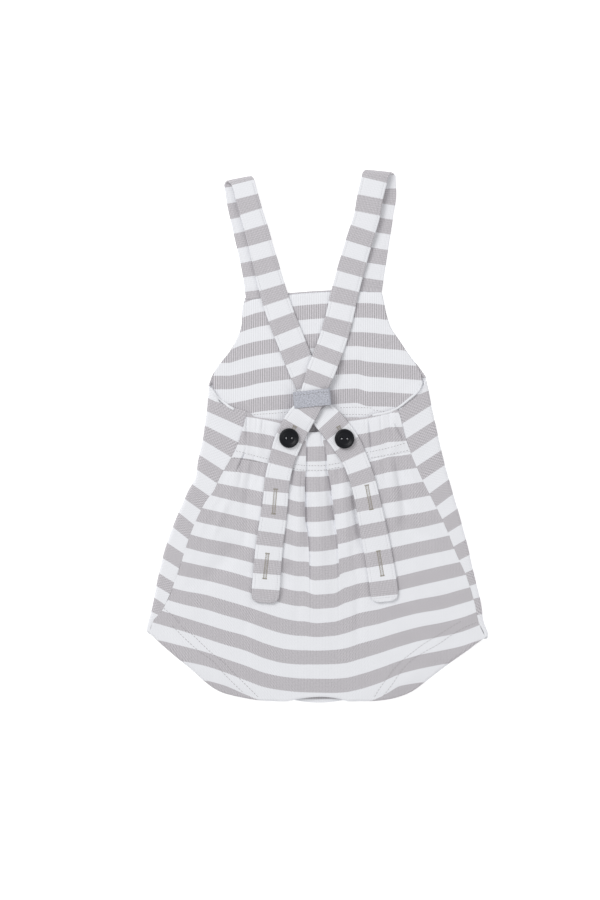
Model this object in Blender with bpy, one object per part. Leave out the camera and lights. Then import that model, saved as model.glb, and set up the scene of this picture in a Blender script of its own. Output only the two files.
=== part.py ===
"""Baby romper in striped jersey, laid flat on its front so that its back shows.

A bib romper with a gathered, elasticated back, two long crossed straps held by a keeper loop, and two
buttons. The frame is in metres: +Z up from the surface it lies on, +Y from the crotch to the tops of the
straps and +X to the right as the back is looked at. The origin is the middle of the garment's box, on that
surface. Sizes below are in millimetres. Tables hold one row for each section or fold, with named columns.
"""

import math

import bmesh
import bpy
import numpy as np

MM = 0.001

# Walls and what lies between them.
CLOTH = 1.2
FACING = 1.0
CASING = 2.4
STRAP = 2.0
KEEPER = 1.0
GAP = 0.3
FOLD_R = 1.6  # mid-wall radius of the side folds and of the leg hems

# Levels of the flat layers, each the middle of its wall.
FLOOR_Z = CLOTH / 2
FACING_Z = CLOTH + GAP + FACING / 2
BACK_Z = FLOOR_Z + 2 * FOLD_R
CASING_BOTTOM = CLOTH + GAP + FACING + GAP

# Straps, keeper and buttons.
STRAP_WIDTH = 19.8
TAIL_WIDTH = 22.0
STRAP_EDGE = 0.6
STRAP_STEP = 5.5
LOOP_R = 2.8
OVER_REACH = 96.0  # from the fold to where a strap has come down to the bib
NEAR_BIB = 0.7 * OVER_REACH
KEEPER_MIDDLE = (-4.4, 29.0)
KEEPER_SIZE = (30.4, 12.2)
KEEPER_TURN = 4.7  # degrees
KEEPER_CORNER = 1.6
KEEPER_REACH = 9.0  # half its length along the straps, with room
BUTTON_WIDTH = 15.0
BUTTON_HEIGHT = 3.0
BUTTON_HOLE = 1.8
BUTTON_HOLE_APART = 4.2
BUTTON_LEFT = (-21.5, -1.5)
BUTTON_RIGHT = (20.5, -2.0)
BUTTON_SIDES = 32
BUTTON_HOLE_SIDES = 12

# Grids.
FRONT_COLUMNS = 15
FACING_COLUMNS = 17
CASING_COLUMNS = 57
BACK_COLUMNS = 45
BACK_ROWS = 20
BACK_HEM_STEPS = 6
SIDE_SEAM_TOP = 9.19  # the stripe of the front's cloth at which the side seams end

STRIPED = (0.66, 0.65, 0.67)
TAB_GREY = (0.44, 0.46, 0.52)
BUTTON_BLACK = (0.010, 0.010, 0.014)


def smooth(xs, ys, x):
    """Reads ys over rising xs at x, on a curve that goes through each point and never overshoots."""
    xs, ys = np.asarray(xs, float), np.asarray(ys, float)
    step = np.diff(xs)
    slope = np.diff(ys) / step
    tangent = np.concatenate([slope[:1], np.zeros(len(xs) - 2), slope[-1:]])
    same = slope[:-1] * slope[1:] > 0
    before, after = slope[:-1][same], slope[1:][same]
    tangent[1:-1][same] = 2 * before * after / (before + after)
    x = np.clip(x, xs[0], xs[-1])
    i = np.clip(np.searchsorted(xs, x, side="right") - 1, 0, len(step) - 1)
    t = (x - xs[i]) / step[i]
    rise = ys[i] + (ys[i + 1] - ys[i]) * t * t * (3 - 2 * t)
    lean = tangent[i] * (1 - t) - tangent[i + 1] * t
    return rise + step[i] * t * (1 - t) * lean


class Table:
    """Rows of named sizes, read smoothly between rows by the first column, which rises."""

    def __init__(self, names, *rows):
        self.names = names.split()
        self.rows = np.array(rows, float)

    def column(self, name):
        return self.rows[:, self.names.index(name)]

    def at(self, name, key):
        return smooth(self.rows[:, 0], self.column(name), key)


# The front panel, from the crotch upwards in stripes of 22 mm of cloth. edge_x and edge_y are where a row of
# the cloth meets the outline. From there it turns up and back over itself by turn degrees, then runs on by
# beyond, and drop is how far its end comes down towards the crotch, at the side seam or the armhole.
FRONT_LEFT = Table(
    "stripe  edge_x  edge_y  turn  beyond  drop",
    (1.12, -128.9, -149.2, 100, 0.4, 0.0),
    (1.2, -129.9, -147.8, 180, 0.6, 0.0),
    (1.6, -128.0, -139.0, 180, 1.4, 0.8),
    (2.0, -125.5, -130.0, 180, 4.4, 3.8),
    (3.0, -121.5, -109.0, 180, 8.7, 8.0),
    (4.0, -116.0, -86.5, 180, 10.8, 8.3),
    (5.0, -107.5, -63.0, 180, 9.6, 9.9),
    (6.0, -98.3, -42.0, 180, 10.7, 8.9),
    (6.5, -92.4, -30.5, 180, 12.0, 10.3),
    (7.0, -90.8, -19.5, 180, 14.9, 11.6),
    (8.0, -86.2, 3.0, 180, 21.4, 13.9),
    (8.5, -85.0, 13.8, 180, 23.6, 12.6),
    (9.0, -83.5, 24.5, 180, 23.5, 12.6),
    (9.18, -83.4, 28.1, 180, 23.7, 9.6),
    (9.25, -83.3, 29.3, 180, 8.5, 5.4),
    (9.5, -83.0, 34.0, 165, 4.1, 3.0),
    (9.75, -82.3, 38.5, 85, 1.2, 0.5),
    (10.0, -81.0, 43.5, 0, 1.5, 0.0),
    (10.5, -75.5, 53.5, 0, 1.5, 0.0),
    (11.0, -66.5, 64.5, 0, 1.5, 0.0),
    (11.5, -60.9, 75.0, 0, 1.5, 0.0),
    (12.0, -57.4, 86.0, 0, 1.5, 0.0),
    (12.4, -57.2, 95.0, 0, 1.5, 0.0),
    (12.8, -55.0, 105.0, 0, 1.5, 0.0),
)
FRONT_RIGHT = Table(
    "stripe  edge_x  edge_y  turn  beyond  drop",
    (1.12, 129.2, -153.2, 100, 0.4, 0.0),
    (1.2, 129.9, -151.6, 180, 0.6, 0.0),
    (1.6, 126.0, -139.5, 180, 1.8, 0.7),
    (2.0, 124.5, -128.0, 180, 2.6, 0.9),
    (3.0, 119.4, -106.5, 180, 3.3, 2.3),
    (4.0, 114.3, -84.0, 180, 6.8, 5.2),
    (5.0, 108.0, -60.5, 180, 9.0, 7.4),
    (6.0, 101.4, -38.0, 180, 11.7, 10.8),
    (6.5, 98.3, -27.0, 180, 13.9, 11.5),
    (7.0, 95.4, -16.0, 180, 15.9, 12.2),
    (8.0, 90.3, 6.5, 180, 19.2, 14.3),
    (8.5, 87.7, 18.0, 180, 20.2, 14.4),
    (9.0, 85.5, 29.5, 180, 20.6, 14.8),
    (9.18, 84.8, 33.2, 180, 21.4, 14.4),
    (9.25, 84.6, 34.7, 180, 4.2, 2.4),
    (9.5, 83.5, 39.5, 150, 1.4, 0.8),
    (9.75, 82.2, 44.5, 60, 1.2, 0.0),
    (10.0, 79.0, 50.0, 0, 1.5, 0.0),
    (10.5, 70.5, 61.0, 0, 1.5, 0.0),
    (11.0, 62.5, 72.5, 0, 1.5, 0.0),
    (11.5, 55.5, 83.5, 0, 1.5, 0.0),
    (12.0, 52.0, 94.5, 0, 1.5, 0.0),
    (12.4, 50.5, 102.5, 0, 1.5, 0.0),
    (12.8, 48.5, 111.0, 0, 1.5, 0.0),
)
# How far the middle of a row of the bib stands above the line between its ends.
BIB_CROWN = Table("stripe  rise", (9.5, 0), (10.5, 0.6), (11.5, 1.8), (12.8, 2.2))
# Rows of the front panel between the leg openings, its ends on the leg edges, sagging to middle_y.
CROTCH_ROWS = Table(
    "row  left_x  left_y  right_x  right_y  middle_y",
    (0, -117.5, -152.5, 118.0, -154.2, -154.5),
    (1, -106.0, -159.5, 107.0, -158.5, -163.5),
    (2, -95.5, -167.0, 95.5, -166.0, -173.0),
    (3, -84.0, -176.0, 82.5, -174.5, -183.0),
    (4, -71.0, -184.5, 70.5, -183.5, -193.0),
    (5, -51.0, -190.5, 53.5, -190.5, -198.0),
    (6, -24.5, -198.5, 27.0, -198.5, -202.5),
)
# The facing inside the bib: how far its sides stay inside the outline, and its hem.
FACING_LEVELS = (12.72, 12.4, 12.0, 11.5, 11.0, 10.5, 10.0, 9.6, 9.2, 8.8)
FACING_INSET = Table("stripe  inset", (8.6, 3.4), (9.4, 3.4), (10.0, 2.6), (11.0, 1.6), (12.8, 1.4))
FACING_HEM = Table(
    "x  y", (-90, 13.8), (-50, 14.5), (-20, 16.0), (17, 17.2), (42, 16.8), (90, 15.5)
)
# The elastic casing along the waist of the back.
CASING_TOP = Table(
    "x  y",
    (-57.5, 18.5), (-54, 17.5), (-50, 15), (-40, 13.5), (-26.5, 11.5), (-13, 6), (-2.5, 3),
    (9.5, 7.5), (23, 14), (33, 14), (44, 16.5), (51, 18.5), (60, 20),
)  # fmt: skip
CASING_SEAM = Table(
    "x  y",
    (-63.5, -16.5), (-50.5, -18.5), (-37.5, -21), (-21, -25), (-9.5, -26.5), (2, -26.5),
    (17, -24), (29.5, -20.5), (41.5, -17), (55, -14.5), (69, -11.5),
)  # fmt: skip
# Across the casing, from its top edge to its seam: how its top dips, and how strong its gathers are.
CASING_CROWN = Table("share  height", (0, -1.0), (0.07, -0.15), (0.3, 0), (0.8, -0.1), (1, -0.9))
CASING_GATHERED = Table("share  strength", (0, 0.3), (0.12, 1), (0.6, 0.9), (1, 0.4))
CASING_ROWS = (0, 0.07, 0.3, 0.6, 0.86, 1)
# Gathers of the casing: small upright ridges and hollows.
CASING_GATHERS = Table(
    "x  half_width  height",
    (-55.0, 2.4, 0.5), (-50.0, 2.0, -0.4), (-44.5, 2.4, 0.5), (-39.0, 2.0, -0.4), (-33.5, 2.4, 0.4),
    (-12.0, 2.4, 0.4), (-7.0, 2.0, -0.3), (0.0, 3.4, 0.6), (7.5, 2.0, -0.4), (12.5, 2.6, 0.4),
    (36.0, 2.4, 0.4), (40.0, 2.0, -0.4), (46.0, 3.0, 0.5), (53.0, 2.0, -0.5), (58.5, 2.4, 0.5),
)  # fmt: skip
# The outline of the back from the left leg's outer corner through the crotch to the right one.
BACK_HEM = Table(
    "x  y",
    (-129.0, -149.2), (-125, -152.8), (-116.5, -159.8), (-106.5, -168.5), (-97.5, -175.8),
    (-85, -186.8), (-78.5, -191.6), (-71, -195.2), (-56, -198.8), (-42, -200.8), (-25, -201.4),
    (-12, -199.0), (3, -197.8), (14, -198.8), (25, -201.4), (42, -201.2), (54, -200.0),
    (64, -197.4), (72.5, -193.6), (82, -186.6), (99.5, -173.2), (109.5, -166), (119, -159.6),
    (128.6, -154.6),
)  # fmt: skip
# How the back turns under along that outline, by distance from the nearer corner as a share of the whole.
HEM_TURN = Table(
    "along  turn  length",
    (0.0, 0, 0.8), (0.012, 40, 1.4), (0.032, 150, 4.4), (0.065, 180, 6.6), (0.12, 180, 9.5),
    (0.30, 180, 8.5), (0.335, 180, 6.6), (0.365, 120, 4.2), (0.39, 60, 2.6), (0.415, 20, 1.6),
    (0.5, 15, 1.5),
)  # fmt: skip
# Folds of the gathered back, each from its start to its end, with half its width and its height.
BACK_FOLDS = Table(
    "x  y  end_x  end_y  half_width  height",
    (-78, -27, -94, -75, 4.0, 0.5),
    (-60, -22, -77, -72, 4.0, 0.7),
    (-49, -20, -55, -64, 3.6, -0.9),
    (-40, -22, -48, -90, 5.0, 1.0),
    (-23, -26, -24, -98, 4.0, 0.8),
    (-14.5, -27, -15, -104, 4.2, 1.1),
    (-9.5, -24, -6.5, -96, 2.6, -1.2),
    (-1, -27, 3.5, -128, 6.0, 1.5),
    (8, -24, 15, -96, 2.6, -1.2),
    (18, -30, 24, -100, 4.2, 1.1),
    (27, -44, 34, -90, 2.6, -0.8),
    (40, -20, 50, -90, 5.0, 0.9),
    (54, -18, 61, -80, 4.0, 0.8),
    (62, -15, 68, -72, 3.6, -1.0),
    (72, -20, 82, -80, 4.0, 0.6),
    (-62, -84, -92, -118, 7.0, -0.7),
    (-98, -118, -84, -142, 6.0, 0.5),
    (62, -64, 93, -84, 7.0, -0.7),
    (31, -118, 31, -164, 3.6, -0.6),
    (-22, -98, -27, -132, 4.0, -0.6),
)

# The straps, from the bib's top edge up to the fold, and from the fold down to the tail.
STRAP_A_UNDER = Table(
    "step  x  y", (0, -44.8, 108.4), (1, -47.5, 126.5), (2, -54, 156), (3, -59.3, 180), (4, -61, 192.2)
)
STRAP_A_OVER = Table(
    "step  x  y",
    (0, -57.4, 192.2), (1, -53, 175), (2, -48, 159), (3, -37, 120.5), (4, -29.5, 96.5), (5, -17, 64.5),
    (6, -7.5, 41), (7, -3.2, 29), (8, 2.8, 18.2), (9, 10.5, 9.5), (10, 19.5, -2), (11, 25.6, -12),
    (12, 30.2, -22), (13, 34, -33), (14, 36.8, -43), (15, 43, -73.5), (16, 46.6, -92), (17, 49.6, -110),
    (18, 51.6, -128.4),
)  # fmt: skip
STRAP_B_UNDER = Table(
    "step  x  y", (0, 39.4, 112.8), (1, 42.5, 133.5), (2, 47.5, 166), (3, 50, 184), (4, 49.6, 197.8)
)
STRAP_B_OVER = Table(
    "step  x  y",
    (0, 43.8, 197.6), (1, 40, 181), (2, 38, 168), (3, 31, 145.5), (4, 22, 114), (5, 15, 83.5),
    (6, 7, 60), (7, -1.3, 38.5), (8, -4.2, 29), (9, -7.4, 21.5), (10, -14.5, 11), (11, -20.5, -0.5),
    (12, -24, -9), (13, -27.5, -20.5), (14, -30.3, -33), (15, -32.5, -56), (16, -36.5, -84),
    (17, -39.3, -118), (18, -40, -127.8),
)  # fmt: skip
# The straps' width: how it grows from the fold to the tail, how the tail's end is rounded, and how much
# narrower the keeper holds it.
STRAP_WIDTHS = Table("from_end  width", (0, 22.0), (150, 21.4), (350, 19.8))
TAIL_END = Table("from_end  share", (0, 0.55), (1.2, 0.8), (3.5, 0.93), (7, 1), (20, 1))
KEEPER_PINCH = Table("away  narrower", (0, 4.4), (10, 4.4), (26, 0))
# Half of a button's section, from the middle of its underside out, up and back in.
BUTTON_PROFILE = Table(
    "radius  z",
    (0, 0), (6.6, 0), (7.3, 0.5), (7.5, 1.3), (7.3, 2.4), (6.7, 3.0), (5.9, 3.0), (5.2, 2.5), (4.3, 2.05),
    (0, 1.95),
)  # fmt: skip


def clear_scene():
    for obj in list(bpy.data.objects):
        bpy.data.objects.remove(obj, do_unlink=True)


def material(name, colour, roughness):
    made = bpy.data.materials.new(name)
    made.use_nodes = True
    shader = made.node_tree.nodes["Principled BSDF"]
    shader.inputs["Base Color"].default_value = (*colour, 1)
    shader.inputs["Roughness"].default_value = roughness
    shader.inputs["Metallic"].default_value = 0
    return made


def solid(name, points, faces, colour, roughness=0.9, sharp=40):
    """A closed body from points in millimetres, its faces turned outwards."""
    mesh = bpy.data.meshes.new(name)
    mesh.from_pydata([tuple(MM * c for c in p) for p in np.asarray(points, float)], [], faces)
    built = bmesh.new()
    built.from_mesh(mesh)
    bmesh.ops.recalc_face_normals(built, faces=built.faces)
    built.to_mesh(mesh)
    built.free()
    mesh.shade_smooth()
    mesh.set_sharp_from_angle(angle=math.radians(sharp))
    mesh.materials.append(material(name, colour, roughness))
    made = bpy.data.objects.new(name, mesh)
    bpy.context.scene.collection.objects.link(made)
    return made


def unit(vectors):
    return vectors / np.linalg.norm(vectors, axis=-1, keepdims=True)


def sheet(name, upper, lower, colour):
    """A wall of cloth between two grids of points, closed along its four edges."""
    rows, columns = upper.shape[:2]
    count = rows * columns
    number = np.arange(count).reshape(rows, columns)
    a, b = number[:-1, :-1].ravel(), number[:-1, 1:].ravel()
    c, d = number[1:, 1:].ravel(), number[1:, :-1].ravel()
    faces = np.stack([a, b, c, d], 1).tolist() + (np.stack([d, c, b, a], 1) + count).tolist()
    rim = np.concatenate([number[0, :], number[1:, -1], number[-1, -2::-1], number[-2:0:-1, 0]])
    for here, there in zip(rim, np.roll(rim, -1)):
        faces.append((int(there), int(here), int(here + count), int(there + count)))
    return solid(name, np.concatenate([upper.reshape(-1, 3), lower.reshape(-1, 3)]), faces, colour)


def wall(name, middle, thickness, colour):
    """A wall of even thickness on both sides of a grid of points."""
    across = np.gradient(middle, axis=1)
    along = np.gradient(middle, axis=0)
    out = unit(np.cross(across, along)) * thickness / 2
    return sheet(name, middle + out, middle - out, colour)


# ---- the front panel


def turned(turn, beyond):
    """Distance out and height up of cloth that turns over by turn degrees and then runs straight on."""
    arc = FOLD_R * math.radians(turn)
    first = max(arc, 2.5)
    along = np.concatenate([np.linspace(0, first, 6)[1:], first + beyond * np.array([1, 2, 3]) / 3])
    angle = np.minimum(along, arc) / FOLD_R
    rest = along - np.minimum(along, arc)
    out = FOLD_R * np.sin(angle) + rest * np.cos(angle)
    up = FOLD_R * (1 - np.cos(angle)) + rest * np.sin(angle)
    apex = FOLD_R * math.pi / 2
    share = np.clip((along - apex) / max(along[-1] - apex, 0.1), 0, 1)
    return out, up, share


def fold_reach(turn, out):
    """How far the outline lies beyond where the cloth leaves the surface."""
    return FOLD_R + CLOTH / 2 if turn >= 90 else out.max()


def bib_line(stripe, x, left, right):
    """y along one level of the front's cloth, between its ends."""
    share = (x - left[0]) / (right[0] - left[0])
    crown = BIB_CROWN.at("rise", stripe) * (1 - (2 * share - 1) ** 2)
    return left[1] + (right[1] - left[1]) * share + crown


def front_row(stripe):
    """Points of the front panel along one level of its cloth, from its left end to its right end."""
    sides = []
    for table, sign in ((FRONT_LEFT, -1), (FRONT_RIGHT, 1)):
        edge_x, edge_y, turn, beyond, drop = (table.at(n, stripe) for n in table.names[1:])
        out, up, share = turned(turn, beyond)
        start = edge_x - sign * fold_reach(turn, out)
        sides.append((start, edge_y, start + sign * out, edge_y - drop * share, FLOOR_Z + up))
    (left_x, left_y, *left), (right_x, right_y, *right) = sides
    x = np.linspace(left_x, right_x, FRONT_COLUMNS)
    y = bib_line(stripe, x, (left_x, left_y), (right_x, right_y))
    floor = np.stack([x, y, np.full_like(x, FLOOR_Z)], 1)
    return np.concatenate([np.stack(left, 1)[::-1], floor, np.stack(right, 1)])


def crotch_row(row):
    """Points of the front panel between the legs, flat on the surface."""
    names = CROTCH_ROWS.names[1:]
    left_x, left_y, right_x, right_y, middle_y = (CROTCH_ROWS.at(n, row) for n in names)
    margin = np.linspace(0, 0.04, 9)[:-1]
    share = np.concatenate([margin, np.linspace(0.04, 0.96, FRONT_COLUMNS), 1 - margin[::-1]])
    x = left_x + (right_x - left_x) * share
    sag = 1 - (2 * share - 1) ** 2
    y = left_y + (right_y - left_y) * share + (middle_y - (left_y + right_y) / 2) * sag
    return np.stack([x, y, np.full_like(x, FLOOR_Z)], 1)


def front_panel():
    rows = [front_row(level) for level in FRONT_LEFT.column("stripe")[::-1]]
    rows += [crotch_row(row) for row in CROTCH_ROWS.column("row")]
    return wall("front_panel", np.stack(rows), CLOTH, STRIPED)


def bib_facing():
    """Follows the front panel's own rows, moved up off it, and ends in a hem below the armholes."""
    rows = []
    for level in FACING_LEVELS:
        inset = FACING_INSET.at("inset", level)
        left_x, left_y = FRONT_LEFT.at("edge_x", level), FRONT_LEFT.at("edge_y", level)
        right_x, right_y = FRONT_RIGHT.at("edge_x", level), FRONT_RIGHT.at("edge_y", level)
        x = np.linspace(left_x + inset, right_x - inset, FACING_COLUMNS)
        y = bib_line(level, x, (left_x, left_y), (right_x, right_y))
        rows.append(np.stack([x, y, np.full_like(x, FACING_Z)], 1))
    hem = rows[-1].copy()
    hem[:, 1] = FACING_HEM.at("y", hem[:, 0])
    return wall("bib_facing", np.stack(rows + [hem]), FACING, STRIPED)


# ---- the back


def side_seam(table, sign, y):
    """The point of a side seam at y, where the front panel's turned cloth ends."""
    ends = []
    levels = table.column("stripe")
    for level in levels[levels < SIDE_SEAM_TOP]:
        row = front_row(level)
        ends.append(row[0] if sign < 0 else row[-1])
    ends = np.array(ends)
    x = smooth(ends[:, 1], ends[:, 0], y)
    z = smooth(ends[:, 1], ends[:, 2], y)
    return np.stack([x - sign * 1.6 * GAP, y, z], -1)


def folds(table, x, y):
    """Height that the folds of a table add at x, y."""
    total = np.zeros_like(x)
    for start_x, start_y, end_x, end_y, half_width, height in table.rows:
        length = math.hypot(end_x - start_x, end_y - start_y)
        unit_x, unit_y = (end_x - start_x) / length, (end_y - start_y) / length
        along = ((x - start_x) * unit_x + (y - start_y) * unit_y) / length
        across = (x - start_x) * unit_y - (y - start_y) * unit_x
        fade = np.clip((along + 0.12) / 0.2, 0, 1) * np.clip((1.1 - along) / 0.6, 0, 1)
        total += height * fade * fade * (3 - 2 * fade) * np.exp(-((across / half_width) ** 2))
    return total


def gathers(x):
    total = np.zeros_like(x)
    for middle, half_width, height in CASING_GATHERS.rows:
        total += height * np.exp(-(((x - middle) / half_width) ** 2))
    return total


def casing_row(share, count):
    """Points along the casing, from side seam to side seam, at a share of the way down it."""
    even = np.linspace(0, 1, count)
    top_x = np.linspace(*CASING_TOP.column("x")[[0, -1]], count)
    low_x = np.linspace(*CASING_SEAM.column("x")[[0, -1]], count)
    x = top_x + (low_x - top_x) * share
    y = CASING_TOP.at("y", top_x) * (1 - share) + CASING_SEAM.at("y", low_x) * share
    left = side_seam(FRONT_LEFT, -1, y[:1])[0, 0] - x[0]
    right = side_seam(FRONT_RIGHT, 1, y[-1:])[0, 0] - x[-1]
    x = x + left * np.clip(1 - even / 0.1, 0, 1) + right * np.clip(1 - (1 - even) / 0.1, 0, 1)
    return x, y


def casing_height(x, share):
    """Top of the casing, at a share of the way from its top edge to its seam."""
    crown = CASING_CROWN.at("height", share)
    return CASING_BOTTOM + CASING + crown + gathers(x) * CASING_GATHERED.at("strength", share)


def back_waistband():
    upper, lower = [], []
    for share in CASING_ROWS:
        x, y = casing_row(share, CASING_COLUMNS)
        upper.append(np.stack([x, y, casing_height(x, share)], 1))
        lower.append(np.stack([x, y, np.full_like(x, CASING_BOTTOM)], 1))
    return sheet("back_waistband", np.stack(upper), np.stack(lower), STRIPED)


def hem_line(count):
    """The back's outline at its foot, at even steps along it, with the direction out of the cloth."""
    fine_x = np.linspace(*BACK_HEM.column("x")[[0, -1]], 800)
    fine_y = BACK_HEM.at("y", fine_x)
    run = np.concatenate([[0], np.cumsum(np.hypot(np.diff(fine_x), np.diff(fine_y)))])
    at = np.linspace(0, run[-1], count)
    x, y = np.interp(at, run, fine_x), np.interp(at, run, fine_y)
    near = 4.0
    dx = np.interp(at + near, run, fine_x) - np.interp(at - near, run, fine_x)
    dy = np.interp(at + near, run, fine_y) - np.interp(at - near, run, fine_y)
    out = unit(np.stack([dy, -dx], 1))
    return np.stack([x, y], 1), out, at / run[-1]


def under_turn(along, steps):
    """Distance out and drop of the hem that turns under, at steps along its own length."""
    near = min(along, 1 - along)
    turn, length = HEM_TURN.at("turn", near), HEM_TURN.at("length", near)
    arc = FOLD_R * math.radians(turn)
    s = length * np.arange(1, steps + 1) / steps
    angle = np.minimum(s, arc) / FOLD_R
    rest = s - np.minimum(s, arc)
    out = FOLD_R * np.sin(angle) + rest * np.cos(angle)
    down = FOLD_R * (1 - np.cos(angle)) + rest * np.sin(angle)
    if turn >= 90:
        reach = FOLD_R + CLOTH / 2
    else:
        reach = out.max() + CLOTH / 2 * math.sin(math.radians(turn))
    return out, np.minimum(down, BACK_Z - FLOOR_Z), reach


def back_grid(columns, rows, hem_steps):
    """Middle of the back panel: a patch between casing, side seams and leg hems, with its folds."""
    share = np.linspace(0, 1, columns)
    outline, out, along = hem_line(columns)
    turns = [under_turn(a, hem_steps) for a in along]
    foot = outline - out * np.array([reach for _, _, reach in turns])[:, None]
    top_x, top_y = casing_row(1, columns)
    top = np.stack([top_x, top_y - GAP], 1)
    left_y = np.linspace(top[0, 1], FRONT_LEFT.rows[1, 2] - 0.4, rows)
    right_y = np.linspace(top[-1, 1], FRONT_RIGHT.rows[1, 2] - 0.4, rows)
    left, right = side_seam(FRONT_LEFT, -1, left_y), side_seam(FRONT_RIGHT, 1, right_y)
    foot = foot + np.clip(1 - share / 0.05, 0, 1)[:, None] * (left[-1, :2] - foot[0])
    foot = foot + np.clip(1 - (1 - share) / 0.05, 0, 1)[:, None] * (right[-1, :2] - foot[-1])
    u, w = share[None, :, None], np.linspace(0, 1, rows)[:, None, None]
    plan = (1 - w) * (top - (1 - share[:, None]) * top[0] - share[:, None] * top[-1])
    plan = plan + w * (foot - (1 - share[:, None]) * foot[0] - share[:, None] * foot[-1])
    plan = plan + (1 - u) * left[:, None, :2] + u * right[:, None, :2]
    inner = np.clip(np.minimum(u, 1 - u)[..., 0] / 0.1, 0, 1) * np.clip((1 - w)[..., 0] / 0.12, 0, 1)
    start = 0.4 + 0.6 * np.clip(w[..., 0] / 0.1, 0, 1)
    height = BACK_Z + folds(BACK_FOLDS, plan[..., 0], plan[..., 1]) * inner * start
    panel = np.concatenate([plan, height[..., None]], -1)
    panel[:, 0, 2] = left[:, 2]
    panel[:, -1, 2] = right[:, 2]
    hem = []
    for step in range(hem_steps):
        reach = np.array([o[step] for o, _, _ in turns])
        drop = np.array([d[step] for _, d, _ in turns])
        place = foot + out * reach[:, None]
        hem.append(np.concatenate([place, (panel[-1, :, 2] - drop)[:, None]], 1))
    return np.concatenate([panel, np.stack(hem)])


def back_panel():
    return wall("back_panel", back_grid(BACK_COLUMNS, BACK_ROWS, BACK_HEM_STEPS), CLOTH, STRIPED)


# ---- the straps, their keeper and the buttons


def top_under_straps(x, y):
    """Top of what a strap lies on at x, y."""
    casing_y, seam_y = CASING_TOP.at("y", x), CASING_SEAM.at("y", x)
    share = np.clip((casing_y - y) / (casing_y - seam_y), 0, 1)
    facing = np.where(y < 112, FACING_Z + FACING / 2, 0)
    back = BACK_Z + CLOTH / 2 + np.maximum(folds(BACK_FOLDS, x, y), 0)
    casing = casing_height(x, share)
    return np.where(y > casing_y + 1, facing, np.where(y > seam_y - 1, casing, back))


def in_keeper(x, y):
    turn = math.radians(KEEPER_TURN)
    along = -(x - KEEPER_MIDDLE[0]) * math.sin(turn) + (y - KEEPER_MIDDLE[1]) * math.cos(turn)
    return np.abs(along) < KEEPER_REACH


def line_through(table, step):
    """Points every step millimetres along a smooth line through a table's x and y."""
    keys = np.linspace(table.rows[0, 0], table.rows[-1, 0], 2000)
    x, y = table.at("x", keys), table.at("y", keys)
    window = np.ones(61) / 61
    x = np.convolve(np.pad(x, 30, mode="reflect", reflect_type="odd"), window, mode="valid")
    y = np.convolve(np.pad(y, 30, mode="reflect", reflect_type="odd"), window, mode="valid")
    run = np.concatenate([[0], np.cumsum(np.hypot(np.diff(x), np.diff(y)))])
    at = np.linspace(0, run[-1], max(2, round(run[-1] / step) + 1))
    return np.stack([np.interp(at, run, x), np.interp(at, run, y)], 1), at


def settled(raw, step, reach):
    """The raw heights, held up over each hump by the strap's own stiffness and smoothed."""
    n = max(1, round(reach / step))
    padded = np.pad(raw, n, mode="edge")
    humps = np.max([padded[i : i + len(raw)] for i in range(2 * n + 1)], axis=0)
    padded = np.pad(humps, n, mode="edge")
    return np.mean([padded[i : i + len(raw)] for i in range(2 * n + 1)], axis=0)


def strap_path(under, over, surface):
    """Middle line, width direction and width at stations from the bib up, round the fold and down again."""
    fine = 1.5
    low, _ = line_through(under, STRAP_STEP)
    line, run = line_through(over, fine)
    heading = unit(np.gradient(line, axis=0))
    side = np.stack([-heading[:, 1], heading[:, 0]], 1)
    raw = np.zeros(len(line))
    for share in np.linspace(-0.5, 0.5, 9):
        place = line + side * share * TAIL_WIDTH
        raw = np.maximum(raw, surface(place[:, 0], place[:, 1]))
    rest = settled(raw + GAP + STRAP / 2, fine, 5.0)
    fold_top = STRAP / 2 + 2 * LOOP_R
    ease = np.clip(run / OVER_REACH, 0, 1)
    hang = fold_top + (rest[np.searchsorted(run, OVER_REACH)] - fold_top) * ease * ease * (3 - 2 * ease)
    falling = np.where(run > NEAR_BIB, np.maximum(hang, rest), hang)
    height = np.where(run < OVER_REACH, falling, rest)
    start = unit((low[-1] - low[-2])[None])[0]
    angle = np.linspace(0, math.pi, 9)[1:-1]
    turned_share = (angle / math.pi)[:, None]
    bulge = start * (LOOP_R * np.sin(angle))[:, None]
    loop_xy = low[-1] + (line[0] - low[-1]) * turned_share + bulge
    loop_z = STRAP / 2 + LOOP_R * (1 - np.cos(angle))
    picks = np.round(np.linspace(0, len(line) - 1, round(run[-1] / STRAP_STEP) + 1)).astype(int)
    points = np.concatenate(
        [
            np.column_stack([low, np.full(len(low), STRAP / 2)]),
            np.column_stack([loop_xy, loop_z]),
            np.column_stack([line[picks], height[picks]]),
        ]
    )
    up_way = unit(np.gradient(low, axis=0))
    up_side = np.stack([up_way[:, 1], -up_way[:, 0]], 1)
    turn_side = up_side[-1] + (side[0] - up_side[-1]) * turned_share
    across = unit(np.concatenate([up_side, turn_side, side[picks]]))
    tail = run[-1] - run[picks]
    from_keeper = np.hypot(*(line[picks] - KEEPER_MIDDLE).T)
    widths = STRAP_WIDTHS.at("width", tail) * TAIL_END.at("share", tail)
    widths = widths - KEEPER_PINCH.at("narrower", from_keeper)
    widths = np.concatenate([np.full(len(low) + len(angle), STRAP_WIDTH), widths])
    return points, np.column_stack([across, np.zeros(len(across))]), widths


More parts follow.
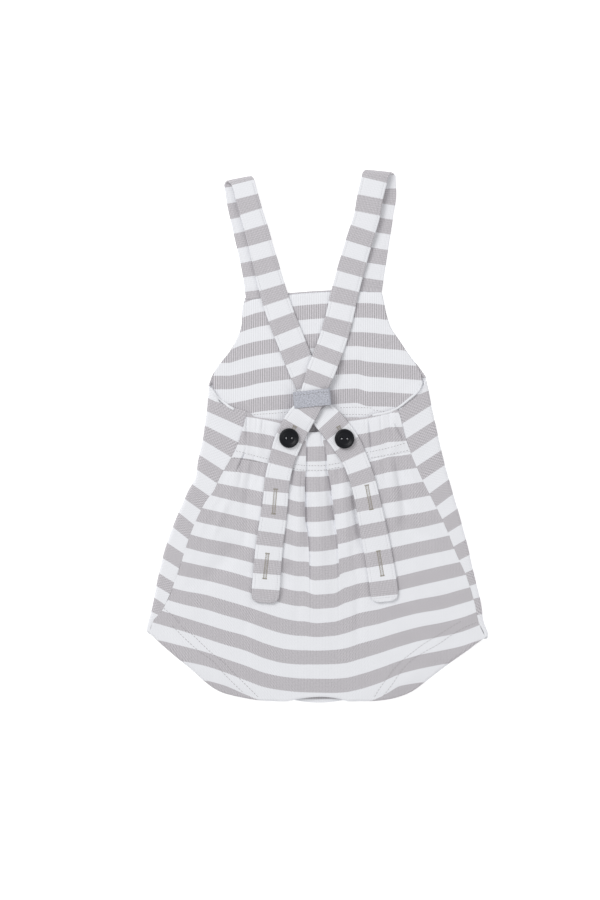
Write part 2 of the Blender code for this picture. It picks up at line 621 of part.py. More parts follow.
def strap(name, path):
    points, across, widths = path
    way = unit(np.gradient(points, axis=0))
    face = unit(np.cross(way, across))
    rings = []
    for point, w, n, width in zip(points, across, face, widths):
        half, flat = width / 2, width / 2 - STRAP_EDGE
        shape = ((-half, 0), (-flat, 1), (flat, 1), (half, 0), (flat, -1), (-flat, -1))
        rings.append([point + w * a + n * b * STRAP / 2 for a, b in shape])
    sides = len(rings[0])
    faces = [tuple(range(sides))[::-1], tuple(range((len(rings) - 1) * sides, len(rings) * sides))]
    for ring in range(len(rings) - 1):
        for k in range(sides):
            a, b = ring * sides + k, ring * sides + (k + 1) % sides
            faces.append((a, b, b + sides, a + sides))
    return solid(name, np.concatenate(rings), faces, STRIPED, sharp=80)


def strap_top(path, x, y):
    """Top of a strap at x, y, or 0 beside it."""
    points, _, widths = path
    over = slice(len(points) // 3, None)
    height = np.zeros_like(x)
    for (px, py, pz), width in zip(points[over], widths[over]):
        near = np.hypot(x - px, y - py) < math.hypot(width / 2, STRAP_STEP / 2) + 1.0
        height = np.where(near, np.maximum(height, pz + STRAP / 2), height)
    return height


def strap_keeper(top):
    """A flat loop of jersey that goes once round both straps where they cross."""
    bottom = FACING_Z + FACING / 2 + GAP
    half_x, half_y = KEEPER_SIZE[0] / 2, KEEPER_SIZE[1] / 2
    height = top + GAP + KEEPER - bottom
    across, tall = half_x - KEEPER_CORNER, height / 2 - KEEPER_CORNER
    rings = []
    for inset in (0, KEEPER):
        radius = KEEPER_CORNER - inset
        loop = []
        for quarter, (sx, sz) in enumerate(((1, 1), (-1, 1), (-1, -1), (1, -1))):
            for k in range(5):
                a = math.pi / 2 * (quarter + k / 4)
                x, z = sx * across + radius * math.cos(a), sz * tall + radius * math.sin(a)
                loop.append((x, bottom + height / 2 + z))
        rings.append(loop)
    turn = math.radians(KEEPER_TURN)
    points = []
    for loop in rings:
        for y in (-half_y, half_y):
            for x, z in loop:
                points.append(
                    (
                        KEEPER_MIDDLE[0] + x * math.cos(turn) - y * math.sin(turn),
                        KEEPER_MIDDLE[1] + x * math.sin(turn) + y * math.cos(turn),
                        z,
                    )
                )
    n = len(rings[0])
    faces = []
    for k in range(n):
        m = (k + 1) % n
        for p, q in ((0, 1), (3, 2), (2, 0), (1, 3)):
            faces.append((p * n + k, p * n + m, q * n + m, q * n + k))
    return solid("strap_keeper", points, faces, TAB_GREY)


def shaft(name, place, low, high):
    """A round rod that cuts one hole of a button."""
    n = BUTTON_HOLE_SIDES
    angles = [2 * math.pi * k / n for k in range(n)]
    radius = BUTTON_HOLE / 2
    round_line = [(place[0] + radius * math.cos(a), place[1] + radius * math.sin(a)) for a in angles]
    points = [(*p, low) for p in round_line] + [(*p, high) for p in round_line]
    faces = [(k, (k + 1) % n, (k + 1) % n + n, k + n) for k in range(n)]
    faces += [tuple(range(n - 1, -1, -1)), tuple(range(n, 2 * n))]
    return solid(name, points, faces, BUTTON_BLACK)


def button(name, place, base):
    """A round button with a raised rim, a dished face and two holes."""
    sides = BUTTON_SIDES
    points, rings = [], []
    for radius, z in BUTTON_PROFILE.rows:
        count = sides if radius else 1
        rings.append(range(len(points), len(points) + count))
        for k in range(count):
            a = 2 * math.pi * k / sides
            x, y = place[0] + radius * math.cos(a), place[1] + radius * math.sin(a)
            points.append((x, y, base + z))
    faces = []
    for low, high in zip(rings, rings[1:]):
        for k in range(sides):
            m = (k + 1) % sides
            ring = [low[k % len(low)], low[m % len(low)], high[m % len(high)], high[k % len(high)]]
            faces.append(tuple(dict.fromkeys(ring)))
    made = solid(name, points, faces, BUTTON_BLACK, roughness=0.35)
    for side, sign in (("left", -1), ("right", 1)):
        x = place[0] + sign * BUTTON_HOLE_APART / 2
        cutter = shaft(f"{name}_hole_{side}", (x, place[1]), base - 1, base + BUTTON_HEIGHT + 1)
        cutter.hide_render = True
        cutter.display_type = "WIRE"
        cut = made.modifiers.new("hole", "BOOLEAN")
        cut.operation = "DIFFERENCE"
        cut.object = cutter
    return made


def highest(path, place, radius):
    """Top of a strap within a radius of a place."""
    points, _, _ = path
    near = np.hypot(points[:, 0] - place[0], points[:, 1] - place[1]) < radius
    return points[near & (points[:, 2] > 2), 2].max() + STRAP / 2


def main():
    clear_scene()
    front_panel()
    bib_facing()
    back_panel()
    back_waistband()

    keeper_floor = FACING_Z + FACING / 2 + GAP + KEEPER

    def under_a(x, y):
        return np.maximum(top_under_straps(x, y), np.where(in_keeper(x, y), keeper_floor, 0))

    path_a = strap_path(STRAP_A_UNDER, STRAP_A_OVER, under_a)

    def under_b(x, y):
        return np.maximum(under_a(x, y), strap_top(path_a, x, y))

    path_b = strap_path(STRAP_B_UNDER, STRAP_B_OVER, under_b)
    strap("strap_left", path_a)
    strap("strap_right", path_b)
    strap_keeper(highest(path_b, KEEPER_MIDDLE, KEEPER_REACH + 2))
    button("button_left", BUTTON_LEFT, highest(path_b, BUTTON_LEFT, BUTTON_WIDTH * 0.75) + GAP)
    button("button_right", BUTTON_RIGHT, highest(path_a, BUTTON_RIGHT, BUTTON_WIDTH * 0.75) + GAP)


main()
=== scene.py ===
# %% [markdown]
# # A baby romper in striped jersey, laid flat
#
# The romper lies on its front, so the camera looks straight down on its back: a bib with two long straps,
# a waist gathered by elastic, and two turned leg hems. Every piece is built as a thin closed shell of cloth
# on the form of its CAD solid. Sizes are in millimetres until a mesh is made, as on a maker's pattern.

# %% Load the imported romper
import math

import bpy
import numpy as np
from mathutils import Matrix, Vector
from mathutils.bvhtree import BVHTree


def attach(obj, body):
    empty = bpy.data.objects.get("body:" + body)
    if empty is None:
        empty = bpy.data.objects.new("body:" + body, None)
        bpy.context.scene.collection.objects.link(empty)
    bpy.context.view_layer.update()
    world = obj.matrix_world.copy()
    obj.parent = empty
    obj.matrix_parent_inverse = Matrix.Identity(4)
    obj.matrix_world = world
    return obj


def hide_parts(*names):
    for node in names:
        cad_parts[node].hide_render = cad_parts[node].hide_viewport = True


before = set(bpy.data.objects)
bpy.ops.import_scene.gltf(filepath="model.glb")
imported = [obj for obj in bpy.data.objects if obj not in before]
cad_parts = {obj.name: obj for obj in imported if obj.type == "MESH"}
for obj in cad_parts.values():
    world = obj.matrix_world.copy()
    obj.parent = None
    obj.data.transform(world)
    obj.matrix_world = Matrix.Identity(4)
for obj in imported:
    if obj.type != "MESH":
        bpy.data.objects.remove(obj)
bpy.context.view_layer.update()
MM = 0.001

# %% [markdown]
# ## Camera and light
#
# A shop photograph of baby clothes is taken from straight above on white, under very soft light. A long lens
# far away keeps the thickness of the cloth from shifting its outline. The view is 684 mm tall for 900 pixels.

# %% Camera, looking straight down
VIEW_TALL = 684.0
VIEW_MIDDLE = (-13.2, -10.5)
CAMERA_HEIGHT = 3000.0
lens = bpy.data.cameras.new("overhead_camera")
lens.sensor_fit = "VERTICAL"
lens.angle_y = 2 * math.atan(VIEW_TALL / 2 / CAMERA_HEIGHT)
lens.clip_end = 20
camera = bpy.data.objects.new("overhead_camera", lens)
camera.location = (VIEW_MIDDLE[0] * MM, VIEW_MIDDLE[1] * MM, CAMERA_HEIGHT * MM)
bpy.context.scene.collection.objects.link(camera)
bpy.context.scene.camera = camera
bpy.context.scene.view_settings.view_transform = "Standard"
print("lens of", round(lens.lens), "mm")


# %% Small helpers for node trees
def add(tree, kind, values=None, **settings):
    """A node with its settings, and its inputs set to values or joined to other nodes' outputs."""
    made = tree.nodes.new(kind)
    for name, value in settings.items():
        setattr(made, name, value)
    for key, value in (values or {}).items():
        if isinstance(value, bpy.types.NodeSocket):
            tree.links.new(value, made.inputs[key])
        else:
            made.inputs[key].default_value = value
    return made


def calc(tree, operation, *values):
    """One Math node, and its result."""
    return add(tree, "ShaderNodeMath", dict(enumerate(values)), operation=operation).outputs[0]


def ramp(tree, value, low, high, to_low=0.0, to_high=1.0):
    """A value brought from low..high to another range, and held there."""
    inputs = {"Value": value, "From Min": low, "From Max": high, "To Min": to_low, "To Max": to_high}
    return add(tree, "ShaderNodeMapRange", inputs).outputs[0]


def noise(tree, where, scale, detail):
    """A Noise node's value at a place. It wanders about 0.5."""
    return add(tree, "ShaderNodeTexNoise", {"Vector": where, "Scale": scale, "Detail": detail}).outputs[0]


def group(name, inputs, outputs):
    """An empty shader node group with named sockets, as (tree, its input node, its output node)."""
    tree = bpy.data.node_groups.new(name, "ShaderNodeTree")
    for label, kind in inputs:
        tree.interface.new_socket(label, in_out="INPUT", socket_type=kind)
    for label, kind in outputs:
        tree.interface.new_socket(label, in_out="OUTPUT", socket_type=kind)
    return tree, tree.nodes.new("NodeGroupInput"), tree.nodes.new("NodeGroupOutput")


FLOAT, VECTOR = "NodeSocketFloat", "NodeSocketVector"

# %% [markdown]
# ## Floor, sky and two soft lamps
#
# The floor is plain and very pale, so it burns out to white as the photograph's ground does. One wide lamp
# stands up and to the left, so that each fold gets a light and a dark side, and a paler one fills in.


# %% Floor and light
def lamp(name, place, size, watts):
    """A square lamp that looks at the middle of the romper."""
    data = bpy.data.lights.new(name, "AREA")
    data.size = size
    data.energy = watts
    made = bpy.data.objects.new(name, data)
    made.location = place
    made.rotation_euler = Vector(place).to_track_quat("Z", "Y").to_euler()
    bpy.context.scene.collection.objects.link(made)


lamp("key_lamp", (-1.1, 1.0, 1.6), 1.0, 21)
lamp("fill_lamp", (1.4, -0.6, 1.8), 1.6, 8)
sky = bpy.data.worlds.new("studio")
bpy.context.scene.world = sky
sky.use_nodes = True
sky.node_tree.nodes["Background"].inputs["Color"].default_value = (1, 1, 1, 1)
sky.node_tree.nodes["Background"].inputs["Strength"].default_value = 0.57

FLOOR_HALF = 3.0
FLOOR_DROP = -0.0002
ground = bpy.data.meshes.new("paper")
corners = ((-1, -1), (1, -1), (1, 1), (-1, 1))
ground.from_pydata([(x * FLOOR_HALF, y * FLOOR_HALF, FLOOR_DROP) for x, y in corners], [], [(0, 1, 2, 3)])
paper = bpy.data.objects.new("paper", ground)
bpy.context.scene.collection.objects.link(paper)
paper_white = bpy.data.materials.new("white paper")
paper_white.use_nodes = True
paper_shader = paper_white.node_tree.nodes["Principled BSDF"]
paper_shader.inputs["Base Color"].default_value = (0.93, 0.93, 0.93, 1)
paper_shader.inputs["Roughness"].default_value = 1
paper_shader.inputs["Specular IOR Level"].default_value = 0
paper_shader.inputs["Emission Color"].default_value = (1, 1, 1, 1)
paper_shader.inputs["Emission Strength"].default_value = 0.42
ground.materials.append(paper_white)

# %% [markdown]
# ## The knit
#
# Jersey is knitted in upright rows of small V-shaped loops, the wales. Its stripes are knitted in, so they
# run along the courses and bend with the cloth. Every piece therefore carries a UV map named "cloth" that
# says where a point was in the flat cloth, in metres: across in u and along the wales in v. Three node groups
# read it: one for the stripes, one for the loops and one for the flecks of a mixed grey yarn. The loops'
# group paints shade into the colour, darker in the grooves between loops, and a slanting painted sheen at the
# sides.

# %% Stripe group
REPEAT = 22.0  # a grey and a white stripe together, in millimetres
EDGE_WANDER = 0.4 * MM  # how far the edge between two stripes strays
stripes, given, result = group(
    "Knitted stripes",
    [("Cloth", VECTOR), ("Repeat", FLOAT), ("Softness", FLOAT), ("Pleat", FLOAT), ("Pleat shift", FLOAT)],
    [("Grey", FLOAT)],
)
place = add(stripes, "ShaderNodeSeparateXYZ", {0: given.outputs["Cloth"]})
inside = calc(stripes, "GREATER_THAN", given.outputs["Pleat"], 0.0)
height = calc(stripes, "MULTIPLY_ADD", inside, given.outputs["Pleat shift"], place.outputs["Y"])
ragged = calc(stripes, "SUBTRACT", noise(stripes, given.outputs["Cloth"], 900.0, 1.0), 0.5)
height = calc(stripes, "MULTIPLY_ADD", ragged, EDGE_WANDER, height)
turns = calc(stripes, "DIVIDE", height, given.outputs["Repeat"])
away = calc(stripes, "ABSOLUTE", calc(stripes, "SUBTRACT", turns, calc(stripes, "ROUND", turns)))
low = calc(stripes, "SUBTRACT", 0.25, given.outputs["Softness"])
high = calc(stripes, "ADD", 0.25, given.outputs["Softness"])
stripes.links.new(ramp(stripes, away, low, high, 1.0, 0.0), result.inputs["Grey"])

# %% Knit group
# The knit's tone is painted light: raised loops are lighter and the grooves between them darker, painted
# shade, and a slanting hatch at the sides is a painted sheen.
HATCH_WIDE, HATCH_TALL = 2.6 * MM, 2.7 * MM  # the slanting sheen that fine loops show at the sides
knit, given, result = group(
    "Jersey knit",
    [("Cloth", VECTOR), ("Wale", FLOAT), ("Course", FLOAT), ("Slant", FLOAT)],
    [("Height", FLOAT), ("Light", FLOAT)],
)
place = add(knit, "ShaderNodeSeparateXYZ", {0: given.outputs["Cloth"]})
across = calc(knit, "DIVIDE", place.outputs["X"], given.outputs["Wale"])
off_middle = calc(knit, "ABSOLUTE", calc(knit, "SUBTRACT", across, calc(knit, "ROUND", across)))
up = calc(knit, "DIVIDE", place.outputs["Y"], given.outputs["Course"])
leg = calc(knit, "ADD", off_middle, up)
loop = calc(knit, "SINE", calc(knit, "MULTIPLY", leg, 2 * math.pi))
rib = ramp(knit, off_middle, 0.5, 0.08)
raised = calc(knit, "MULTIPLY", rib, calc(knit, "MULTIPLY_ADD", loop, 0.3, 0.7))
knit.links.new(raised, result.inputs["Height"])
# Painted sheen: a slanting hatch, mirrored at the middle and fading towards it.
sideways = calc(knit, "DIVIDE", calc(knit, "ABSOLUTE", place.outputs["X"]), HATCH_WIDE)
slanted = calc(knit, "SUBTRACT", sideways, calc(knit, "DIVIDE", place.outputs["Y"], HATCH_TALL))
painted_sheen = calc(knit, "SINE", calc(knit, "MULTIPLY", slanted, 2 * math.pi))
patchy = noise(knit, given.outputs["Cloth"], 110.0, 2.0)
painted_sheen = calc(knit, "MULTIPLY", painted_sheen, ramp(knit, patchy, 0.34, 0.66))
painted_sheen = calc(knit, "MULTIPLY", painted_sheen, ramp(knit, sideways, 2.0, 16.0))
# Painted shade: the loops' raised parts lighter, the grooves between them darker.
light = calc(knit, "SUBTRACT", raised, 0.36)
light = calc(knit, "MULTIPLY", light, ramp(knit, patchy, 0.3, 0.65, 0.55, 1.2))
knit.links.new(calc(knit, "MULTIPLY_ADD", painted_sheen, given.outputs["Slant"], light), result.inputs["Light"])

# %% Yarn group
yarn, given, result = group(
    "Mixed yarn", [("Cloth", VECTOR), ("Fleck", FLOAT)], [("Fine", FLOAT), ("Broad", FLOAT)]
)
stretched = add(yarn, "ShaderNodeMapping", {"Vector": given.outputs["Cloth"], "Scale": (0.55, 1.0, 1.0)})
fine = calc(yarn, "SUBTRACT", noise(yarn, stretched.outputs[0], 1400.0, 2.0), 0.5)
broad = calc(yarn, "SUBTRACT", noise(yarn, given.outputs["Cloth"], 70.0, 3.0), 0.5)
yarn.links.new(calc(yarn, "MULTIPLY", fine, given.outputs["Fleck"]), result.inputs["Fine"])
yarn.links.new(broad, result.inputs["Broad"])
print("shader groups:", [tree.name for tree in bpy.data.node_groups])


# %% Cloth materials
def linear(*srgb):
    """A colour as paint charts give it, 0 to 255, made linear for the shader."""
    parts = [c / 255 for c in srgb]
    return [c / 12.92 if c <= 0.04045 else ((c + 0.055) / 1.055) ** 2.4 for c in parts] + [1]


WHITE_YARN = linear(235, 236, 240)
GREY_YARN = linear(191, 188, 192)
TAB_YARN = linear(181, 183, 192)
THREAD = linear(158, 155, 156)
HOLE_THREAD = linear(156, 150, 138)


def use(tree, shared, values):
    """A node that runs one of the shared groups in a material."""
    return add(tree, "ShaderNodeGroup", values, node_tree=shared)


def attribute(tree, name):
    """The value that each point carries under a name."""
    return add(tree, "ShaderNodeAttribute", attribute_name=name).outputs["Fac"]


def jersey(name, light, dark, wale, course, contrast, fleck, bump, slant, striped=True):
    """A knitted cloth: stripes of two yarns, or one yarn all over, with its flecks and the painted shade and
    sheen of its loops.
    """
    made = bpy.data.materials.new(name)
    made.use_nodes = True
    tree = made.node_tree
    shader = tree.nodes["Principled BSDF"]
    cloth = add(tree, "ShaderNodeUVMap", uv_map="cloth").outputs[0]
    loops = use(tree, knit, {"Cloth": cloth, "Wale": wale * MM, "Course": course * MM, "Slant": slant})
    flecks = use(tree, yarn, {"Cloth": cloth, "Fleck": fleck})
    if striped:
        values = {"Cloth": cloth, "Repeat": REPEAT * MM, "Softness": 0.012}
        values |= {"Pleat": attribute(tree, "pleat"), "Pleat shift": attribute(tree, "pleat_shift")}
        grey = use(tree, stripes, values).outputs["Grey"]
        mixed = add(tree, "ShaderNodeMix", {"Factor": grey, 6: light, 7: dark}, data_type="RGBA")
        colour = mixed.outputs[2]
        strength = ramp(tree, grey, 0.0, 1.0, 0.24, 1.0)
    else:
        colour = add(tree, "ShaderNodeRGB")
        colour.outputs[0].default_value = dark
        colour, strength = colour.outputs[0], 1.0
    # The loops' painted shade and painted sheen scale the yarn's colour.
    tone = calc(tree, "MULTIPLY", loops.outputs["Light"], contrast)
    tone = calc(tree, "ADD", tone, flecks.outputs["Fine"])
    tone = calc(tree, "MULTIPLY", tone, strength)
    tone = calc(tree, "MULTIPLY_ADD", flecks.outputs["Broad"], 0.05, tone)
    tone = calc(tree, "ADD", tone, 1.0)
    toned = add(tree, "ShaderNodeVectorMath", {0: colour, "Scale": tone}, operation="SCALE")
    tree.links.new(toned.outputs[0], shader.inputs["Base Color"])
    height = {"Height": loops.outputs["Height"], "Strength": bump, "Distance": 0.2 * MM}
    tree.links.new(add(tree, "ShaderNodeBump", height).outputs[0], shader.inputs["Normal"])
    shader.inputs["Roughness"].default_value = 0.95
    shader.inputs["Specular IOR Level"].default_value = 0.15
    shader.inputs["Sheen Weight"].default_value = 0.12
    shader.inputs["Sheen Roughness"].default_value = 0.5
    return made


two_yarns = (WHITE_YARN, GREY_YARN)
face_jersey = jersey(
    "striped jersey, face side", *two_yarns,
    wale=1.3, course=1.05, contrast=0.4, fleck=0.5, bump=0.3, slant=0.42,
)  # fmt: skip
back_side_jersey = jersey(
    "striped jersey, reverse side", *two_yarns,
    wale=1.7, course=0.9, contrast=0.8, fleck=0.5, bump=0.4, slant=0,
)  # fmt: skip
strap_jersey = jersey(
    "striped jersey of the straps", *two_yarns,
    wale=1.1, course=1.5, contrast=0.55, fleck=0.5, bump=0.3, slant=0,
)  # fmt: skip
tab_jersey = jersey(
    "grey melange jersey", TAB_YARN, TAB_YARN,
    wale=1.2, course=1, contrast=0.3, fleck=1.5, bump=0.4, slant=0, striped=False,
)  # fmt: skip


def plain(name, colour, roughness, fleck=0.1, scale=2500.0, specular=0.2):
    """A thread or a moulded button: one colour with fine uneven spots, and a little relief."""
    made = bpy.data.materials.new(name)
    made.use_nodes = True
    tree = made.node_tree
    shader = tree.nodes["Principled BSDF"]
    where = add(tree, "ShaderNodeTexCoord").outputs["Object"]
    spots = noise(tree, where, scale, 3.0)
    tone = ramp(tree, spots, 0.2, 0.8, 1 - fleck, 1 + fleck)
    base = add(tree, "ShaderNodeRGB")
    base.outputs[0].default_value = colour
    toned = add(tree, "ShaderNodeVectorMath", {0: base.outputs[0], "Scale": tone}, operation="SCALE")
    tree.links.new(toned.outputs[0], shader.inputs["Base Color"])
    raised = add(tree, "ShaderNodeBump", {"Height": spots, "Strength": 0.15, "Distance": 0.1 * MM})
    tree.links.new(raised.outputs[0], shader.inputs["Normal"])
    uneven = ramp(tree, spots, 0.3, 0.7, roughness * 0.85, min(1, roughness * 1.15))
    tree.links.new(uneven, shader.inputs["Roughness"])
    shader.inputs["Specular IOR Level"].default_value = specular
    return made


thread_grey = plain("grey sewing thread", THREAD, 0.8)
thread_pale = plain("pale sewing thread", linear(217, 218, 222), 0.8)
thread_hole = plain("khaki buttonhole thread", HOLE_THREAD, 0.7)
# Dark thread for the keeper's row, and the painted shade in each buttonhole's slit.
slit_shade_and_dark_thread = plain("dark thread, and painted shade in a slit", linear(112, 106, 98), 0.9)
button_black = plain("polished black button", linear(8, 10, 18), 0.38, 0.25, 300.0, 0.26)
print("materials:", [m.name for m in bpy.data.materials])

# %% [markdown]
# ## The pattern, as short tables
#
# These are the part's own sizes, one row for each section or fold. A smooth curve that never overshoots
# reads between the rows, so the visual pieces can be built as finely as they need on the very same form.


# %% Tables read smoothly
def eased(t):
    """0 to 1 with a soft start and a soft end."""
    return t * t * (3 - 2 * t)


def hump(away, half_width):
    """1 in the middle, and softly down to 0 on both sides."""
    return np.exp(-((away / half_width) ** 2))


def smooth(xs, ys, x):
    """Reads ys over rising xs at x, on a curve that goes through each point and never overshoots."""
    xs, ys = np.asarray(xs, float), np.asarray(ys, float)
    step = np.diff(xs)
    slope = np.diff(ys) / step
    tangent = np.concatenate([slope[:1], np.zeros(len(xs) - 2), slope[-1:]])
    same = slope[:-1] * slope[1:] > 0
    before, after = slope[:-1][same], slope[1:][same]
    tangent[1:-1][same] = 2 * before * after / (before + after)
    x = np.clip(x, xs[0], xs[-1])
    i = np.clip(np.searchsorted(xs, x, side="right") - 1, 0, len(step) - 1)
    t = (x - xs[i]) / step[i]
    rise = ys[i] + (ys[i + 1] - ys[i]) * eased(t)
    lean = tangent[i] * (1 - t) - tangent[i + 1] * t
    return rise + step[i] * t * (1 - t) * lean


class Table:
    """Rows of named sizes, read smoothly between rows by the first column, which rises."""

    def __init__(self, names, *rows):
        self.names = names.split()
        self.rows = np.array(rows, float)

    def column(self, name):
        return self.rows[:, self.names.index(name)]

    def at(self, name, key):
        return smooth(self.rows[:, 0], self.column(name), key)


def unit(vectors):
    """The vectors with a length of 1."""
    return vectors / np.linalg.norm(vectors, axis=-1, keepdims=True)


def run_along(points):
    """Distance along a line at each of its points."""
    return np.concatenate([[0], np.cumsum(np.linalg.norm(np.diff(points, axis=0), axis=1))])


def read(at, keys, points):
    """A line's points, read between its keys."""
    return np.stack([np.interp(at, keys, column) for column in points.T], 1)


def leftward(line):
    """Unit vectors to the left of a line in plan."""
    way = unit(np.gradient(line[:, :2], axis=0))
    return np.stack([-way[:, 1], way[:, 0]], 1)


# %% Walls, gaps and the heights of layers
CLOTH, FACING, CASING, STRAP, KEEPER = 1.2, 1.0, 2.4, 2.0, 0.7
GAP = 0.3
FOLD_R = 1.6  # of the middle of cloth that turns over
FLOOR_Z = CLOTH / 2
FACING_Z = CLOTH + GAP + FACING / 2
BACK_Z = FLOOR_Z + 2 * FOLD_R  # these three are the middles of their layers
CASING_BOTTOM = CLOTH + GAP + FACING + GAP


# %% Closed cloth shells
def as_object(name, points, faces, material, cloth=None, extras=()):
    """A mesh object from millimetres, with its place in the cloth for each point."""
    mesh = bpy.data.meshes.new(name)
    mesh.from_pydata((np.asarray(points, float) * MM).tolist(), [], faces)
    if cloth is not None:
        layer = mesh.uv_layers.new(name="cloth")
        corner = np.empty(len(mesh.loops), np.int32)
        mesh.loops.foreach_get("vertex_index", corner)
        layer.data.foreach_set("uv", (np.asarray(cloth, float)[corner] * MM).ravel())
    for label, values in extras:
        mesh.attributes.new(label, "FLOAT", "POINT").data.foreach_set("value", np.asarray(values, float))
    mesh.shade_smooth()
    mesh.materials.append(material)
    made = bpy.data.objects.new(name, mesh)
    bpy.context.scene.collection.objects.link(made)
    return made


def settle(made):
    """The object with its modifiers turned into plain mesh."""
    bpy.context.view_layer.update()
    final = bpy.data.meshes.new_from_object(made.evaluated_get(bpy.context.evaluated_depsgraph_get()))
    made.modifiers.clear()
    made.data = final
    return made


def shell(name, upper, lower, cloth, material, extras=(), rim=0.35):
    """A closed sheet between two grids of points, its rim rounded as a folded edge is."""
    rows, columns = upper.shape[:2]
    count = rows * columns
    number = np.arange(count).reshape(rows, columns)
    a, b = number[:-1, :-1].ravel(), number[:-1, 1:].ravel()
    c, d = number[1:, 1:].ravel(), number[1:, :-1].ravel()
    faces = np.concatenate([np.stack([d, c, b, a], 1), np.stack([a, b, c, d], 1) + count])
    edge = np.concatenate([number[0, :], number[1:, -1], number[-1, -2::-1], number[-2:0:-1, 0]])
    follow = np.roll(edge, -1)
    sides = np.stack([edge, follow, follow + count, edge + count], 1)
    faces = np.concatenate([faces, sides])
    points = np.concatenate([upper.reshape(-1, 3), lower.reshape(-1, 3)])
    p, q, r, t = points[faces].transpose(1, 0, 2)
    if np.sum(p * (np.cross(q, r) + np.cross(r, t))) < 0:  # the volume, so that faces look outward
        faces = faces[:, ::-1]
    cloth = np.concatenate([cloth.reshape(-1, 2)] * 2)
    extras = [(label, np.concatenate([values.ravel()] * 2)) for label, values in extras]
    made = as_object(name, points, faces.tolist(), material, cloth, extras)
    if rim:
        bevel = made.modifiers.new("rim", "BEVEL")
        bevel.width = rim * MM
        bevel.segments = 2
        bevel.limit_method = "ANGLE"
        bevel.angle_limit = math.radians(55)
        settle(made)
    print(name, "has", len(made.data.polygons), "faces")
    return made


def square_to(middle):
    """Unit vectors square to a grid whose rows run to the feet and columns to the right: they point down."""
    return unit(np.cross(np.gradient(middle, axis=1), np.gradient(middle, axis=0)))


def stripe_height(table, x, y):
    """Height in the cloth at x, y, in millimetres, from a table of where each grey stripe's middle runs."""
    numbers = [int(n[1:]) for n in table.names[1:]]  # the stripes are named g9, g8 and so on
    lines = np.stack([table.at(n, x) for n in table.names[1:]])
    found = numbers[0] + (y - lines[0]) / REPEAT
    for j in range(len(numbers) - 1):
        share = (lines[j] - y) / (lines[j] - lines[j + 1])
        found = np.where(y < lines[j], numbers[j] - share, found)
    found = np.where(y < lines[-1], numbers[-1] - (lines[-1] - y) / REPEAT, found)
    return found * REPEAT


def tube(name, rings, cloth, material, closed=False, flip=False):
    """A mesh through rings of points, closed by a face at each end or by joining last ring to first."""
    sides, count = len(rings[0]), len(rings)
    last = (count - 1) * sides
    faces = [] if closed else [list(range(sides))[::-1], list(range(last, last + sides))]
    for ring in range(count if closed else count - 1):
        this, following = ring * sides, (ring + 1) % count * sides
        for k in range(sides):
            m = (k + 1) % sides
            faces.append([this + k, this + m, following + m, following + k])
    if flip:
        faces = [face[::-1] for face in faces]
    return as_object(name, np.concatenate(rings), faces, material, np.concatenate(cloth))


def bedded(made, slot, *nodes):
    """A piece rides on the garment and hides its solids; the slot is not used."""
    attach(made, "root")
    if nodes:
        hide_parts(*nodes)
    return made


# %% [markdown]
# ## Front panel
#
# The front is one piece of cloth from the crotch to the top of the bib. It lies on the floor, and at its
# sides it turns up and over, so that its outside shows as a striped margin beside the back. Each row below is
# one level of the cloth, so its stripes come straight from the row's own number.

# %% Front panel sizes
FRONT_LEFT = Table(
    "stripe  edge_x  edge_y  turn  beyond  drop",
    (1.12, -128.9, -149.2, 100, 0.4, 0.0),
    (1.2, -129.9, -147.8, 180, 0.6, 0.0),
    (1.6, -128.0, -139.0, 180, 1.4, 0.8),
    (2.0, -125.5, -130.0, 180, 4.4, 3.8),
    (3.0, -121.5, -109.0, 180, 8.7, 8.0),
    (4.0, -116.0, -86.5, 180, 10.8, 8.3),
    (5.0, -107.5, -63.0, 180, 9.6, 9.9),
    (6.0, -98.3, -42.0, 180, 10.7, 8.9),
    (6.5, -92.4, -30.5, 180, 12.0, 10.3),
    (7.0, -90.8, -19.5, 180, 14.9, 11.6),
    (8.0, -86.2, 3.0, 180, 21.4, 13.9),
    (8.5, -85.0, 13.8, 180, 23.6, 12.6),
    (9.0, -83.5, 24.5, 180, 23.5, 12.6),
    (9.18, -83.4, 28.1, 180, 23.7, 9.6),
    (9.25, -83.3, 29.3, 180, 8.5, 5.4),
    (9.5, -83.0, 34.0, 165, 4.1, 3.0),
    (9.75, -82.3, 38.5, 85, 1.2, 0.5),
    (10.0, -81.0, 43.5, 0, 1.5, 0.0),
    (10.5, -75.5, 53.5, 0, 1.5, 0.0),
    (11.0, -66.5, 64.5, 0, 1.5, 0.0),
    (11.5, -60.9, 75.0, 0, 1.5, 0.0),
    (12.0, -57.4, 86.0, 0, 1.5, 0.0),
    (12.4, -57.2, 95.0, 0, 1.5, 0.0),
    (12.8, -55.0, 105.0, 0, 1.5, 0.0),
)
